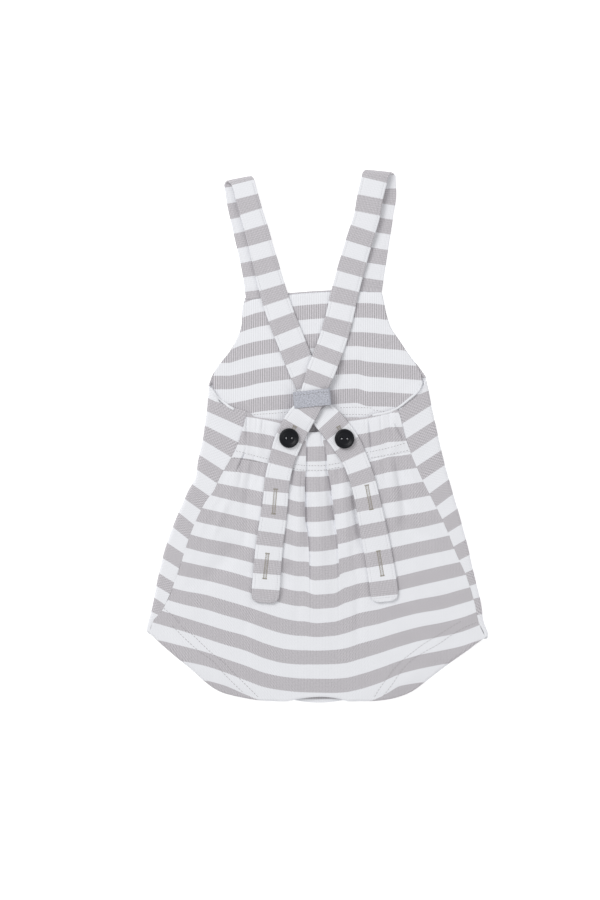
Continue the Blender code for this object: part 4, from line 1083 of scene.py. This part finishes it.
# %% Hem of the back, and its shell
foot_u = shares[-1]
hem_out = read(foot_u, spread, out_way)
hem_rows, hem_run = [], []
for step in range(HEM_STEPS):
    reach, drop, run = (np.interp(foot_u, spread, [t[k][step] for t in turns]) for k in (0, 1, 3))
    hem_run.append(run)
    hem_rows.append(np.column_stack([plan[-1] + hem_out * reach[:, None], panel[-1, :, 2] - drop]))
CLEAR_OF_FLOOR = 0.03
back_middle = np.concatenate([panel, np.stack(hem_rows)])
kept = np.linspace(1, 0, HEM_STEPS + 1)[1:, None] ** 2
back_relief = np.concatenate([relief, relief[-1:] * kept])
cloth, extras = back_cloth(plan_x, plan_y)
hem_cloth = cloth[-1] + np.stack(hem_run)[..., None] * hem_out
cloth = np.concatenate([cloth, hem_cloth])
extras = [(label, np.concatenate([v, np.repeat(v[-1:], HEM_STEPS, 0)])) for label, v in extras]
out = -square_to(back_middle) * CLOTH / 2
upper = back_middle + out
upper[..., 2] = np.maximum(upper[..., 2] + back_relief, CLEAR_OF_FLOOR)
lower = back_middle - out
lower[..., 2] += np.minimum(back_relief + CLOTH / 2, 0)  # under a deep trough the wall's inside gives way too
back = shell("back_of_romper", upper, lower, cloth, face_jersey, extras, rim=0.15)
bedded(back, "back_jersey", "back_panel")

# %% [markdown]
# ## Armhole rims
#
# Where the front turns over at each armhole its raw edge is folded in and stitched, and the fold shows as a
# narrow white rim between the bib's inside and the striped side. It is a flat ribbon let down on the cloth.


# %% Rims
RIM_WIDTH, RIM_THICK = 2.1, 0.6
RIM_LEFT = ((-80.9, 36.4), (-77.2, 31.0), (-72.5, 26.7), (-66.9, 22.4), (-63.2, 20.3))
RIM_RIGHT = (
    (79.4, 40.6), (77.6, 35.9), (74.3, 32.0), (69.4, 27.9), (60.2, 20.9), (52.9, 18.0), (46.1, 16.6),
    (41.5, 15.9),
)  # fmt: skip
# The rim's section: across, as a share of its width, and up, as a share of its thickness.
RIM_SECTION = ((-0.5, 0.1), (-0.36, 0.8), (0, 1.0), (0.36, 0.8), (0.5, 0.1), (0, -0.6))


def surface_of(*objects):
    """A search tree over the outsides of some pieces."""
    points, faces = [], []
    for made in objects:
        start = len(points)
        points += [v.co.copy() for v in made.data.vertices]
        faces += [[start + k for k in p.vertices] for p in made.data.polygons]
    return BVHTree.FromPolygons(points, faces)


def evenly(line, step):
    """Points at even steps along a smooth line in plan, and the distance along it at each."""
    line = np.array(line, float)
    run = run_along(line)
    at = np.linspace(0, run[-1], max(3, int(run[-1] / step)))
    return np.stack([smooth(run, line[:, 0], at), smooth(run, line[:, 1], at)], 1), at


def top_of(surface, x, y):
    """Height of a surface's top at x, y in millimetres, and its direction out there."""
    hit, normal, _, _ = surface.ray_cast(Vector((x * MM, y * MM, 0.05)), Vector((0, 0, -1)))
    return (hit, normal) if hit else (None, None)


def rim(name, line, surface):
    """A narrow folded edge lying on the cloth along a line."""
    middle, at = evenly(line, 1.2)
    side = leftward(middle)
    heights = []
    for place, over in zip(middle, side):
        tops = [top_of(surface, *(place + over * share * RIM_WIDTH))[0] for share in (-0.4, 0, 0.4)]
        heights.append(max(hit.z / MM for hit in tops if hit))
    heights = np.convolve(np.pad(heights, 2, mode="edge"), np.ones(5) / 5, mode="valid")
    rings, cloth = [], []
    for place, over, z, run in zip(middle, side, heights, at):
        rings.append([(*(place + over * a * RIM_WIDTH), z + b * RIM_THICK) for a, b in RIM_SECTION])
        cloth.append([(run, 0.5 * REPEAT + a) for a, _ in RIM_SECTION])
    return bedded(tube(name, rings, cloth, face_jersey, flip=True), "front_jersey")


armhole_ground = surface_of(front, facing, casing)
left_rim = rim("armhole_rim_left", RIM_LEFT, armhole_ground)
right_rim = rim("armhole_rim_right", RIM_RIGHT, armhole_ground)
print("rims", len(left_rim.data.polygons) + len(right_rim.data.polygons), "faces")

# %% [markdown]
# ## Straps
#
# Each strap is two layers of jersey, 20 mm wide, that leaves the bib's top edge, folds over in a loose loop
# and comes down across the back to its button. It stays level from side to side, is held up by its own
# stiffness over what it lies on, and has a stitched groove along both edges.

# %% Strap sizes
STRAP_A_UNDER = Table(
    "step  x  y", (0, -44.8, 108.4), (1, -47.5, 126.5), (2, -54, 156), (3, -59.3, 180), (4, -61, 192.2)
)
STRAP_A_OVER = Table(
    "step  x  y",
    (0, -57.4, 192.2), (1, -53, 175), (2, -48, 159), (3, -37, 120.5), (4, -29.5, 96.5), (5, -17, 64.5),
    (6, -7.5, 41), (7, -3.2, 29), (8, 2.8, 18.2), (9, 10.5, 9.5), (10, 19.5, -2), (11, 25.6, -12),
    (12, 30.2, -22), (13, 34, -33), (14, 36.8, -43), (15, 43, -73.5), (16, 46.6, -92), (17, 49.6, -110),
    (18, 51.6, -128.4),
)  # fmt: skip
STRAP_B_UNDER = Table(
    "step  x  y", (0, 39.4, 112.8), (1, 42.5, 133.5), (2, 47.5, 166), (3, 50, 184), (4, 49.6, 197.8)
)
STRAP_B_OVER = Table(
    "step  x  y",
    (0, 43.8, 197.6), (1, 40, 181), (2, 38, 168), (3, 31, 145.5), (4, 22, 114), (5, 15, 83.5),
    (6, 7, 60), (7, -1.3, 38.5), (8, -4.2, 29), (9, -7.4, 21.5), (10, -14.5, 11), (11, -20.5, -0.5),
    (12, -24, -9), (13, -27.5, -20.5), (14, -30.3, -33), (15, -32.5, -56), (16, -36.5, -84),
    (17, -39.3, -118), (18, -40, -127.8),
)  # fmt: skip
TAIL_END = Table("from_end  share", (0, 0.55), (1.2, 0.8), (3.5, 0.93), (7, 1), (20, 1))
STRAP_WIDTHS = Table(
    "from_end  width",
    (0, 21.6), (20, 21.2), (60, 20.2), (84, 19.0), (106, 19.0), (124, 21.2), (150, 21.4), (350, 19.8),
)  # fmt: skip
KEEPER_PINCH = Table("away  narrower", (0, 2.6), (8, 2.2), (22, 0))
# Where the middles of the grey stripes lie, by distance along the strap from the bib's top edge.
STRAP_A_STRIPES = Table(
    "along  stripe",
    (-3, -4), (19.5, -3), (42.7, -2), (65.5, -1), (89.2, 0), (111.8, 1), (136.6, 2), (160.4, 3),
    (183.1, 4), (206.9, 5), (230.7, 6), (252.2, 7), (272.7, 8), (293.7, 9), (316.2, 10), (338.5, 11),
    (358.7, 12), (379.3, 13), (401.2, 14), (424.2, 15), (447, 16),
)
STRAP_B_STRIPES = Table(
    "along  stripe",
    (1, -4), (24.5, -3), (48.1, -2), (70.3, -1), (93.4, 0), (119.2, 1), (143.8, 2), (167.5, 3),
    (191.0, 4), (214.8, 5), (237.8, 6), (258.0, 7), (280.0, 8), (302.2, 9), (324.4, 10), (345.0, 11),
    (365.0, 12), (386.0, 13), (407.0, 14), (430.0, 15), (452.8, 16),
)
# Beside the fold a strap's outer edge stands up, so that it looks narrower from above.
NARROWED_A = Table("along  in", (0, 0), (86, 0), (98, 2.6), (125, 2.4), (175, 0.6), (200, 0), (480, 0))
NARROWED_B = Table("along  in", (0, 0), (86, 0), (98, 0), (125, -0.5), (175, 0), (480, 0))
STRAP_WIDTH, TAIL_WIDTH = 19.8, 22.0
STRAP_STEP = 1.6  # between the stations of a strap
LOOP_R = 2.8  # the strap folds over in a loop of this radius
OVER_REACH = 96.0  # and comes down to rest this far past it
NEAR_BIB = 0.7 * OVER_REACH  # from here on it is held up by what it lies on
BIB_TOP = 112.0
KEEPER_MIDDLE = (-4.1, 28.6)
KEEPER_SIZE = (28.2, 12.4)
KEEPER_TURN = 6.0
KEEPER_CORNER = 1.6
KEEPER_REACH = 9.0
# A strap's section over its half width: how far out from the middle, and how thick there.
STRAP_SECTION = [
    (0, 1.0), (0.35, 1.0), (0.62, 0.99), (0.74, 0.94), (0.79, 0.72), (0.84, 0.86), (0.93, 0.82),
    (0.985, 0.55),
]  # fmt: skip


# %% Strap path
def top_under_straps(x, y):
    """Top of what a strap lies on at x, y."""
    casing_y, seam_y = CASING_TOP.at("y", x), CASING_SEAM.at("y", x)
    share = np.clip((casing_y - y) / (casing_y - seam_y), 0, 1)
    fine = np.maximum(folds(PUCKERS, x, y), 0)
    on_facing = FACING_Z + FACING / 2 + np.maximum(folds(FACING_FOLDS, x, y), 0)
    on_facing = np.where(y < BIB_TOP, on_facing, 0)
    on_back = BACK_Z + CLOTH / 2 + np.maximum(folds(BACK_FOLDS, x, y), 0) + fine
    on_casing = casing_height(x, share) + fine + np.maximum(pleat_relief(x, y), 0)
    return np.where(y > casing_y + 1, on_facing, np.where(y > seam_y - 1, on_casing, on_back))


KEEPER_COS, KEEPER_SIN = math.cos(math.radians(KEEPER_TURN)), math.sin(math.radians(KEEPER_TURN))


def in_keeper(x, y):
    """Whether a place lies inside the keeper or just beside it."""
    reach = (y - KEEPER_MIDDLE[1]) * KEEPER_COS - (x - KEEPER_MIDDLE[0]) * KEEPER_SIN
    return np.abs(reach) < KEEPER_REACH


def line_through(table, step):
    """Points every step millimetres along a smooth line through a table's x and y."""
    keys = np.linspace(table.rows[0, 0], table.rows[-1, 0], 2000)
    reach = 30  # each point becomes the mean of this many on each side of it
    window = np.ones(2 * reach + 1) / (2 * reach + 1)
    padded = [np.pad(table.at(name, keys), reach, mode="reflect", reflect_type="odd") for name in ("x", "y")]
    line = np.stack([np.convolve(values, window, mode="valid") for values in padded], 1)
    run = run_along(line)
    at = np.linspace(0, run[-1], max(2, round(run[-1] / step) + 1))
    return read(at, run, line), at


def settled(raw, step, reach):
    """The raw heights, held up over each hump by the strap's own stiffness and smoothed."""
    n = max(1, round(reach / step))
    padded = np.pad(raw, n, mode="edge")
    humps = np.max([padded[i : i + len(raw)] for i in range(2 * n + 1)], axis=0)
    padded = np.pad(humps, n, mode="edge")
    return np.mean([padded[i : i + len(raw)] for i in range(2 * n + 1)], axis=0)


def strap_path(under, over, surface, shorter):
    """Middle line, width direction and width at stations from the bib up, round the fold and down again."""
    fine = 1.5
    low, _ = line_through(under, STRAP_STEP)
    line, run = line_through(over, fine)
    keep = run <= run[-1] - shorter
    line, run = line[keep], run[keep]
    side = leftward(line)
    raw = np.zeros(len(line))
    for share in np.linspace(-0.5, 0.5, 9):
        place = line + side * share * TAIL_WIDTH
        raw = np.maximum(raw, surface(place[:, 0], place[:, 1]))
    rest = settled(raw + GAP + STRAP / 2, fine, 5.0)
    fold_top = STRAP / 2 + 2 * LOOP_R
    landing = rest[np.searchsorted(run, OVER_REACH)]
    hang = fold_top + (landing - fold_top) * eased(np.clip(run / OVER_REACH, 0, 1))
    falling = np.where(run > NEAR_BIB, np.maximum(hang, rest), hang)
    height = np.where(run < OVER_REACH, falling, rest)
    start = unit(low[-1] - low[-4])
    angle = np.linspace(0, math.pi, 15)[1:-1]
    turned_share = (angle / math.pi)[:, None]
    bulge = start * (LOOP_R * np.sin(angle))[:, None]
    loop_xy = low[-1] + (line[0] - low[-1]) * turned_share + bulge
    loop_z = STRAP / 2 + LOOP_R * (1 - np.cos(angle))
    picks = np.round(np.linspace(0, len(line) - 1, round(run[-1] / STRAP_STEP) + 1)).astype(int)
    bands = [
        np.column_stack([low, np.full(len(low), STRAP / 2)]),
        np.column_stack([loop_xy, loop_z]),
        np.column_stack([line[picks], height[picks]]),
    ]
    up_side = -leftward(low)
    turn_side = up_side[-1] + (side[0] - up_side[-1]) * turned_share
    across = unit(np.concatenate([up_side, turn_side, side[picks]]))
    tail = run[-1] - run[picks]
    from_keeper = np.hypot(*(line[picks] - KEEPER_MIDDLE).T)
    widths = STRAP_WIDTHS.at("width", tail) * TAIL_END.at("share", tail)
    widths = widths - KEEPER_PINCH.at("narrower", from_keeper)
    widths = np.concatenate([np.full(len(low) + len(angle), STRAP_WIDTH), widths])
    return np.concatenate(bands), np.column_stack([across, np.zeros(len(across))]), widths


def strap_top(path, x, y):
    """Top of a strap at x, y, or 0 beside it."""
    points, _, widths = path
    over = slice(len(points) // 3, None)
    height = np.zeros_like(x)
    for (px, py, pz), width in zip(points[over], widths[over]):
        near = np.hypot(x - px, y - py) < math.hypot(width / 2, STRAP_STEP / 2) + 1.0
        height = np.where(near, np.maximum(height, pz + STRAP / 2), height)
    return height


# %% Straps
def strap(name, path, stripe_table, tucked, narrowed):
    """A strap's mesh. Its foot is tucked into the bib's top seam, and by the fold one edge is drawn in."""
    points, across, widths = path
    start = points[0] - unit(points[2] - points[0]) * tucked
    lead = np.linspace(0, 1, 4)[:-1, None]
    points = np.concatenate([start + (points[0] - start) * lead, points])
    across = np.concatenate([across[:1]] * 3 + [across])
    widths = np.concatenate([widths[:1]] * 3 + [widths])
    way = unit(np.gradient(points, axis=0))
    face = unit(np.cross(way, across))
    run = run_along(points) - tucked
    v = stripe_table.at("stripe", run) * REPEAT
    full = np.clip((run - 2.4) / 3.0, 0, 1)
    thickness = STRAP * (0.12 + 0.88 * eased(full))
    seam_z = CLOTH + GAP / 2
    points[:, 2] += (seam_z - STRAP / 2) * (1 - full) * (run < 20)
    less = narrowed.at("in", run)
    middles, halves = points + across * less[:, None] / 2, (widths - abs(less)) / 2
    section = [(-s, t) for s, t in STRAP_SECTION[:0:-1]] + STRAP_SECTION
    section = [(-1.0, 0.0)] + section + [(1.0, 0.0)] + [(s, -t) for s, t in section[::-1]]
    rings, cloth = [], []
    for middle, over, up, half, height, thick in zip(middles, across, face, halves, v, thickness):
        rings.append([middle + over * a * half + up * b * thick / 2 for a, b in section])
        cloth.append([(a * half, height) for a, _ in section])
    made = tube(name, rings, cloth, strap_jersey)
    made.data.set_sharp_from_angle(angle=math.radians(80))
    print(name, "is", round(run[-1]), "mm long")
    return made


keeper_bottom = FACING_Z + FACING / 2 + GAP


def under_a(x, y):
    """Top of what the left strap lies on: the garment, or the keeper's lower layer."""
    return np.maximum(top_under_straps(x, y), np.where(in_keeper(x, y), keeper_bottom + KEEPER, 0))


path_a = strap_path(STRAP_A_UNDER, STRAP_A_OVER, under_a, shorter=2.6)


def under_b(x, y):
    """Top of what the right strap lies on: the same, or the left strap."""
    return np.maximum(under_a(x, y), strap_top(path_a, x, y))


path_b = strap_path(STRAP_B_UNDER, STRAP_B_OVER, under_b, shorter=0.2)
left_strap = strap("strap_from_left", path_a, STRAP_A_STRIPES, 3.6, NARROWED_A)
right_strap = strap("strap_from_right", path_b, STRAP_B_STRIPES, 3.2, NARROWED_B)
bedded(left_strap, "strap_jersey", "strap_left")
bedded(right_strap, "strap_jersey", "strap_right")

# %% [markdown]
# ## Keeper and buttons
#
# A flat loop of plain grey melange jersey holds the straps where they cross. The buttons are moulded black
# plastic with a raised rim, a dished face and two holes, and a pale thread shows in each hole.


# %% Keeper
def highest(path, place, radius):
    """Top of a strap within a radius of a place."""
    points, _, _ = path
    near = np.hypot(points[:, 0] - place[0], points[:, 1] - place[1]) < radius
    return points[near & (points[:, 2] > 2), 2].max() + STRAP / 2


half_x, half_y = KEEPER_SIZE[0] / 2, KEEPER_SIZE[1] / 2
tall = highest(path_b, KEEPER_MIDDLE, KEEPER_REACH + 2) + GAP + KEEPER - keeper_bottom
KEEPER_STATIONS = np.array([-1, -0.96, -0.85, -0.6, -0.3, 0, 0.3, 0.6, 0.85, 0.96, 1])
QUARTER_STEPS, FLAT_STEPS = 8, 16


def keeper_loop(inset):
    """The loop's outline seen along the straps, drawn in from its outside by an inset."""
    radius = KEEPER_CORNER - inset
    wide, high = half_x - KEEPER_CORNER, tall / 2 - KEEPER_CORNER
    loop = []
    for quarter, (sx, sz) in enumerate(((1, 1), (-1, 1), (-1, -1), (1, -1))):
        for k in range(QUARTER_STEPS + 1):
            a = math.pi / 2 * (quarter + k / QUARTER_STEPS)
            loop.append((sx * wide + radius * math.cos(a), sz * high + radius * math.sin(a)))
        if quarter in (0, 2):
            flat = [sx * wide * (1 - 2 * k / FLAT_STEPS) for k in range(1, FLAT_STEPS)]
            loop += [(x, sz * (high + radius)) for x in flat]
    return loop


def in_plan(x, y):
    """A place in the keeper's own turned plan, in the garment's."""
    place_x = KEEPER_MIDDLE[0] + x * KEEPER_COS - y * KEEPER_SIN
    return place_x, KEEPER_MIDDLE[1] + x * KEEPER_SIN + y * KEEPER_COS


def swollen(x, z, share):
    """The outside's soft swell between its folded edges, which are thinner."""
    swell = 0.12 * math.sin(x * 0.9) * (1 - abs(share) ** 4) if z > 0 else 0
    return z + swell - math.copysign(0.25 * (abs(share) > 0.9), z)


rings, cloth = [], []
for k, ((outer_x, outer_z), (inner_x, inner_z)) in enumerate(zip(keeper_loop(0), keeper_loop(KEEPER))):
    middle_z = keeper_bottom + tall / 2
    ring = [(*in_plan(outer_x, s * half_y), middle_z + swollen(outer_x, outer_z, s)) for s in KEEPER_STATIONS]
    ring += [(*in_plan(inner_x, s * half_y), middle_z + inner_z) for s in KEEPER_STATIONS[::-1]]
    rings.append(ring)
    cloth.append([(k * 1.6, s * half_y) for s in (*KEEPER_STATIONS, *KEEPER_STATIONS[::-1])])
keeper = tube("strap_keeper_tab", rings, cloth, tab_jersey, closed=True, flip=True)
print("keeper stands", round(tall, 1), "mm tall")
bedded(keeper, "keeper_jersey", "strap_keeper")

# %% Buttons
BUTTON_HOLES_APART = 4.2
# Half of a button's section, from the middle of its underside out, up and back in.
BUTTON_PROFILE = (
    (0, 0), (3, 0), (6.3, 0), (6.8, 0.15), (7.15, 0.45), (7.4, 0.9), (7.5, 1.4), (7.42, 1.95), (7.25, 2.4),
    (6.95, 2.78), (6.55, 2.97), (6.15, 3.0), (5.8, 2.9), (5.45, 2.68), (5.1, 2.42), (4.6, 2.22), (4.0, 2.1),
    (3.0, 2.02), (1.8, 1.97), (0, 1.95),
)  # fmt: skip
HOLE_PROFILE = ((0, -1), (0.9, -1), (0.9, 1.6), (0.95, 1.8), (1.15, 2.0), (1.25, 2.2), (1.25, 5), (0, 5))
KNOT_PROFILE = ((0, 0.4), (0.4, 0.45), (0.48, 0.9), (0.42, 1.4), (0.24, 1.65), (0, 1.7))


def lathe(name, profile, centre, base, sides, material):
    """A shape turned about an upright axis."""
    points, rings = [], []
    for radius, z in profile:
        count = sides if radius else 1
        rings.append(range(len(points), len(points) + count))
        for k in range(count):
            a = 2 * math.pi * k / sides
            points.append((centre[0] + radius * math.cos(a), centre[1] + radius * math.sin(a), base + z))
    faces = []
    for low, high in zip(rings, rings[1:]):
        for k in range(sides):
            m = (k + 1) % sides
            ring = [low[k % len(low)], low[m % len(low)], high[m % len(high)], high[k % len(high)]]
            faces.append(list(dict.fromkeys(ring)))
    return as_object(name, points, faces, material)


def button(name, centre, base, node):
    """A button with two holes cut through it, and the thread that shows in each."""
    made = lathe(name, BUTTON_PROFILE, centre, base, 56, button_black)
    holes = [(centre[0] + sign * BUTTON_HOLES_APART / 2, centre[1]) for sign in (-1, 1)]
    for at in holes:
        cutter = lathe("hole", HOLE_PROFILE, at, base, 24, button_black)
        cut = made.modifiers.new("hole", "BOOLEAN")
        cut.operation = "DIFFERENCE"
        cut.object = cutter
        settle(made)
        bpy.data.objects.remove(cutter, do_unlink=True)
    made.data.shade_smooth()
    made.data.set_sharp_from_angle(angle=math.radians(45))
    bedded(made, "button_black", node)
    for at, side in zip(holes, ("left", "right")):
        bedded(lathe(f"{name}_thread_{side}", KNOT_PROFILE, at, base, 12, thread_pale), "button_black")


for side, centre, path in (("left", (-21.5, -1.5), path_b), ("right", (20.5, -2.0), path_a)):
    base = highest(path, centre, 11) + GAP
    button(f"black_button_{side}", centre, base, f"button_{side}")

# %% [markdown]
# ## Stitching
#
# A row of stitches is a path on the cloth with a small thread bead at each step. One Geometry Nodes tree does
# this for every seam. It takes the path's own direction and the cloth's direction out, which each point of
# the path carries, so that every bead lies along its seam and flat on its cloth.


# %% Stitch tree
def stitch_tree():
    """A Geometry Nodes tree that sets a thread bead at each step of a path."""
    tree = bpy.data.node_groups.new("Row of stitches", "GeometryNodeTree")
    sizes = [(label, FLOAT) for label in ("Pitch", "Along", "Across", "Thick")]
    for label, kind in [("Geometry", "NodeSocketGeometry"), *sizes, ("Material", "NodeSocketMaterial")]:
        tree.interface.new_socket(label, in_out="INPUT", socket_type=kind)
    tree.interface.new_socket("Geometry", in_out="OUTPUT", socket_type="NodeSocketGeometry")
    given, result = tree.nodes.new("NodeGroupInput"), tree.nodes.new("NodeGroupOutput")
    path = add(tree, "GeometryNodeMeshToCurve", {"Mesh": given.outputs["Geometry"]})
    even = {"Curve": path.outputs[0], "Length": given.outputs["Pitch"]}
    steps = add(tree, "GeometryNodeResampleCurve", even, mode="LENGTH")
    bead = add(tree, "GeometryNodeMeshUVSphere", {"Segments": 6, "Rings": 4, "Radius": 0.5})
    size = {"X": given.outputs["Along"], "Y": given.outputs["Across"], "Z": given.outputs["Thick"]}
    scale = add(tree, "ShaderNodeCombineXYZ", size)
    shaped = add(tree, "GeometryNodeTransform", {"Geometry": bead.outputs[0], "Scale": scale.outputs[0]})
    soft = add(tree, "GeometryNodeSetShadeSmooth", {"Geometry": shaped.outputs[0]})
    way = add(tree, "GeometryNodeInputTangent")
    lie = add(tree, "GeometryNodeInputNamedAttribute", {"Name": "lie"}, data_type="FLOAT_VECTOR")
    along = add(tree, "FunctionNodeAlignRotationToVector", {"Vector": way.outputs[0]}, axis="X")
    aims = {"Rotation": along.outputs[0], "Vector": lie.outputs[0]}
    flat = add(tree, "FunctionNodeAlignRotationToVector", aims, axis="Z", pivot_axis="X")
    placed = {"Points": steps.outputs[0], "Instance": soft.outputs[0], "Rotation": flat.outputs[0]}
    beads = add(tree, "GeometryNodeInstanceOnPoints", placed)
    real = add(tree, "GeometryNodeRealizeInstances", {"Geometry": beads.outputs[0]})
    dye = {"Geometry": real.outputs[0], "Material": given.outputs["Material"]}
    dyed = add(tree, "GeometryNodeSetMaterial", dye)
    tree.links.new(dyed.outputs[0], result.inputs[0])
    return tree


row_of_stitches = stitch_tree()


def dropped(line, surface, lift):
    """Points of a line let down on a surface, with the surface's directions, finely spaced."""
    points, lies = [], []
    for x, y in evenly(line, 0.8)[0]:
        hit, normal = top_of(surface, x, y)
        if hit is not None:
            points.append(hit + normal * lift * MM)
            lies.append(normal)
    return points, lies


def stitches(name, lines, surface, thread, slot, pitch=2.9, along=2.1, across=0.34, thick=0.3, lift=0.02):
    """Rows of stitches along lines drawn in plan, as one plain mesh."""
    points, lies, edges = [], [], []
    for line in lines:
        on, out = dropped(line, surface, lift)
        edges += [(len(points) + k, len(points) + k + 1) for k in range(len(on) - 1)]
        points += on
        lies += out
    mesh = bpy.data.meshes.new(name)
    mesh.from_pydata(points, edges, [])
    lie = mesh.attributes.new("lie", "FLOAT_VECTOR", "POINT")
    lie.data.foreach_set("vector", np.array(lies).ravel())
    made = bpy.data.objects.new(name, mesh)
    bpy.context.scene.collection.objects.link(made)
    maker = made.modifiers.new("stitches", "NODES")
    maker.node_group = row_of_stitches
    values = {"Pitch": pitch * MM, "Along": along * MM, "Across": across * MM, "Thick": thick * MM}
    values["Material"] = thread
    for item in row_of_stitches.interface.items_tree:
        if item.name in values and item.in_out == "INPUT":
            maker[item.identifier] = values[item.name]
    settle(made)
    bedded(made, slot)
    print(name, "has", len(made.data.polygons), "faces")
    return made


# %% Rows on the body
LEG_ROWS = (
    ((-116.2, -130.9), (-107.4, -138.5), (-102.5, -145.0), (-94.1, -151.3), (-89.4, -155.9), (-80.1, -164.7),
     (-72.0, -171.0), (-63.3, -179.8), (-55.1, -187.9), (-45.8, -197.2)),
    ((-109.2, -144.9), (-100.5, -153.6), (-89.4, -163.5), (-79.0, -171.0), (-69.7, -181.5), (-57.4, -193.7)),
    ((108.1, -140.9), (99.9, -145.7), (90.4, -151.7), (80.4, -157.9), (70.3, -165.5), (61.4, -173.0),
     (53.8, -182.5), (46.9, -191.9), (43.8, -197.0)),
    ((120.0, -141.6), (110.6, -145.7), (101.8, -151.0), (91.7, -157.9), (81.6, -163.6), (71.6, -169.9),
     (63.3, -178.7), (57.0, -188.1), (50.7, -196.4)),
)  # fmt: skip
CASING_ROWS = (
    ((-61.1, -11.3), (-50, -14.2), (-36.3, -17.7)), ((-62.9, -16.2), (-50, -18.2), (-37.2, -21.1)),
    ((-21, -20.5), (-9, -22.3), (2, -22.4), (16, -20.5)),
    ((-20, -24.3), (-9, -25.8), (2, -25.9), (16, -23.6)),
    ((37.9, -12.3), (52, -9.4), (65.5, -5.6)), ((41.3, -16.4), (55, -13.8), (68.0, -10.9)),
)  # fmt: skip


on_back = surface_of(back)
stitches("leg_hem_stitches", LEG_ROWS, on_back, thread_grey, "back_jersey", 2.6, 2.1)

on_casing = surface_of(casing)
stitches("casing_stitches", CASING_ROWS, on_casing, thread_grey, "waistband_jersey", 2.3, 1.6)

on_facing = surface_of(facing)
facing_lines = [
    ((-50, 16.3), (-36, 17.2), (-18, 18.6)),
    ((18, 21.6), (28, 22.0), (40.3, 21.4)),
    ((20, 16.4), (30, 16.6), (41, 16.0)),
    ((43, 19.8), (52, 18.6), (60, 18.8)),
]
stitches("facing_hem_stitches", facing_lines, on_facing, thread_grey, "facing_jersey", 2.2, 1.5)


# %% Rows along the straps
def along_strap(path, offset, start, end):
    """A line along a strap, offset by a share of its half width, between two distances from its tail."""
    points, across, widths = path
    run = run_along(points)
    tail = run[-1] - run
    keep = (tail >= start) & (tail <= end)
    return (points + across * (widths / 2 * offset)[:, None])[keep, :2]


EDGE_ROW, ROW_START, ROW_END = 0.79, 2.0, 338
FINE_SEAM = {"pitch": 2.2, "along": 1.95, "across": 0.3, "thick": 0.26, "lift": -0.05}
for made, path, label in ((left_strap, path_a, "left"), (right_strap, path_b, "right")):
    rows = [along_strap(path, offset, ROW_START, ROW_END) for offset in (EDGE_ROW, -EDGE_ROW)]
    rows.append(np.stack([rows[0][-1], rows[1][-1]]))
    stitches(f"strap_stitches_{label}", rows, surface_of(made), thread_pale, "strap_jersey", **FINE_SEAM)

TAB_ROW = 3.6  # above the keeper's middle
tab_row = [in_plan(x, TAB_ROW) for x in (-14.0, 0, 14.0)]
stitches("keeper_stitches", [tab_row], surface_of(keeper), slit_shade_and_dark_thread, "keeper_jersey", 2.2, 1.4)

# %% [markdown]
# ## Buttonholes
#
# A buttonhole is a slit between two dense rows of satin stitch, closed by a bar at each end. The same tree
# makes them: the beads are short along the row and long across it, and lie almost touching. The slit's shade
# is painted, as a row of dark beads.


# %% Buttonholes
SATIN_APART = 0.95  # from the slit to the middle of each satin row
BAR_HALF = 1.5  # half the length of a bar


def buttonhole(name, ends, made):
    """A slit between two rows of satin stitch, with a bar of three rows at each end. The slit is a row of
    dark beads: painted shade.
    """
    surface = surface_of(made)
    middle = np.array(ends, float)
    way = unit(middle[1] - middle[0])
    over = np.array([-way[1], way[0]])
    rows = [middle + over * SATIN_APART, middle - over * SATIN_APART]
    stitches(f"{name}_satin", rows, surface, thread_hole, "strap_jersey", 0.5, 0.46, 1.3, 0.45, 0.05)
    half = over * BAR_HALF
    bars = [[end - half + way * k, end + half + way * k] for end in middle for k in (-0.35, 0, 0.35)]
    stitches(f"{name}_bars", bars, surface, thread_hole, "strap_jersey", 0.5, 0.7, 0.4, 0.6, 0.12)
    # The slit's darkness is painted shade: a row of dark beads.
    stitches(f"{name}_slit_shade", [middle], surface, slit_shade_and_dark_thread, "strap_jersey", 0.5, 1.2, 0.5, 0.3, 0.12)


buttonhole("hole_right_upper", ((37.4, -37.2), (40.9, -55.5)), left_strap)
buttonhole("hole_right_lower", ((46.2, -87.1), (49.3, -105.8)), left_strap)
buttonhole("hole_left_upper", ((-31.7, -40.2), (-33.3, -58.9)), right_strap)
buttonhole("hole_left_lower", ((-37.8, -89.0), (-40.0, -108.0)), right_strap)
buttonhole("hole_right_used", ((15.9, 7.2), (21.5, -3.5)), left_strap)
buttonhole("hole_left_used", ((-17.0, 7.4), (-22.2, -3.5)), right_strap)
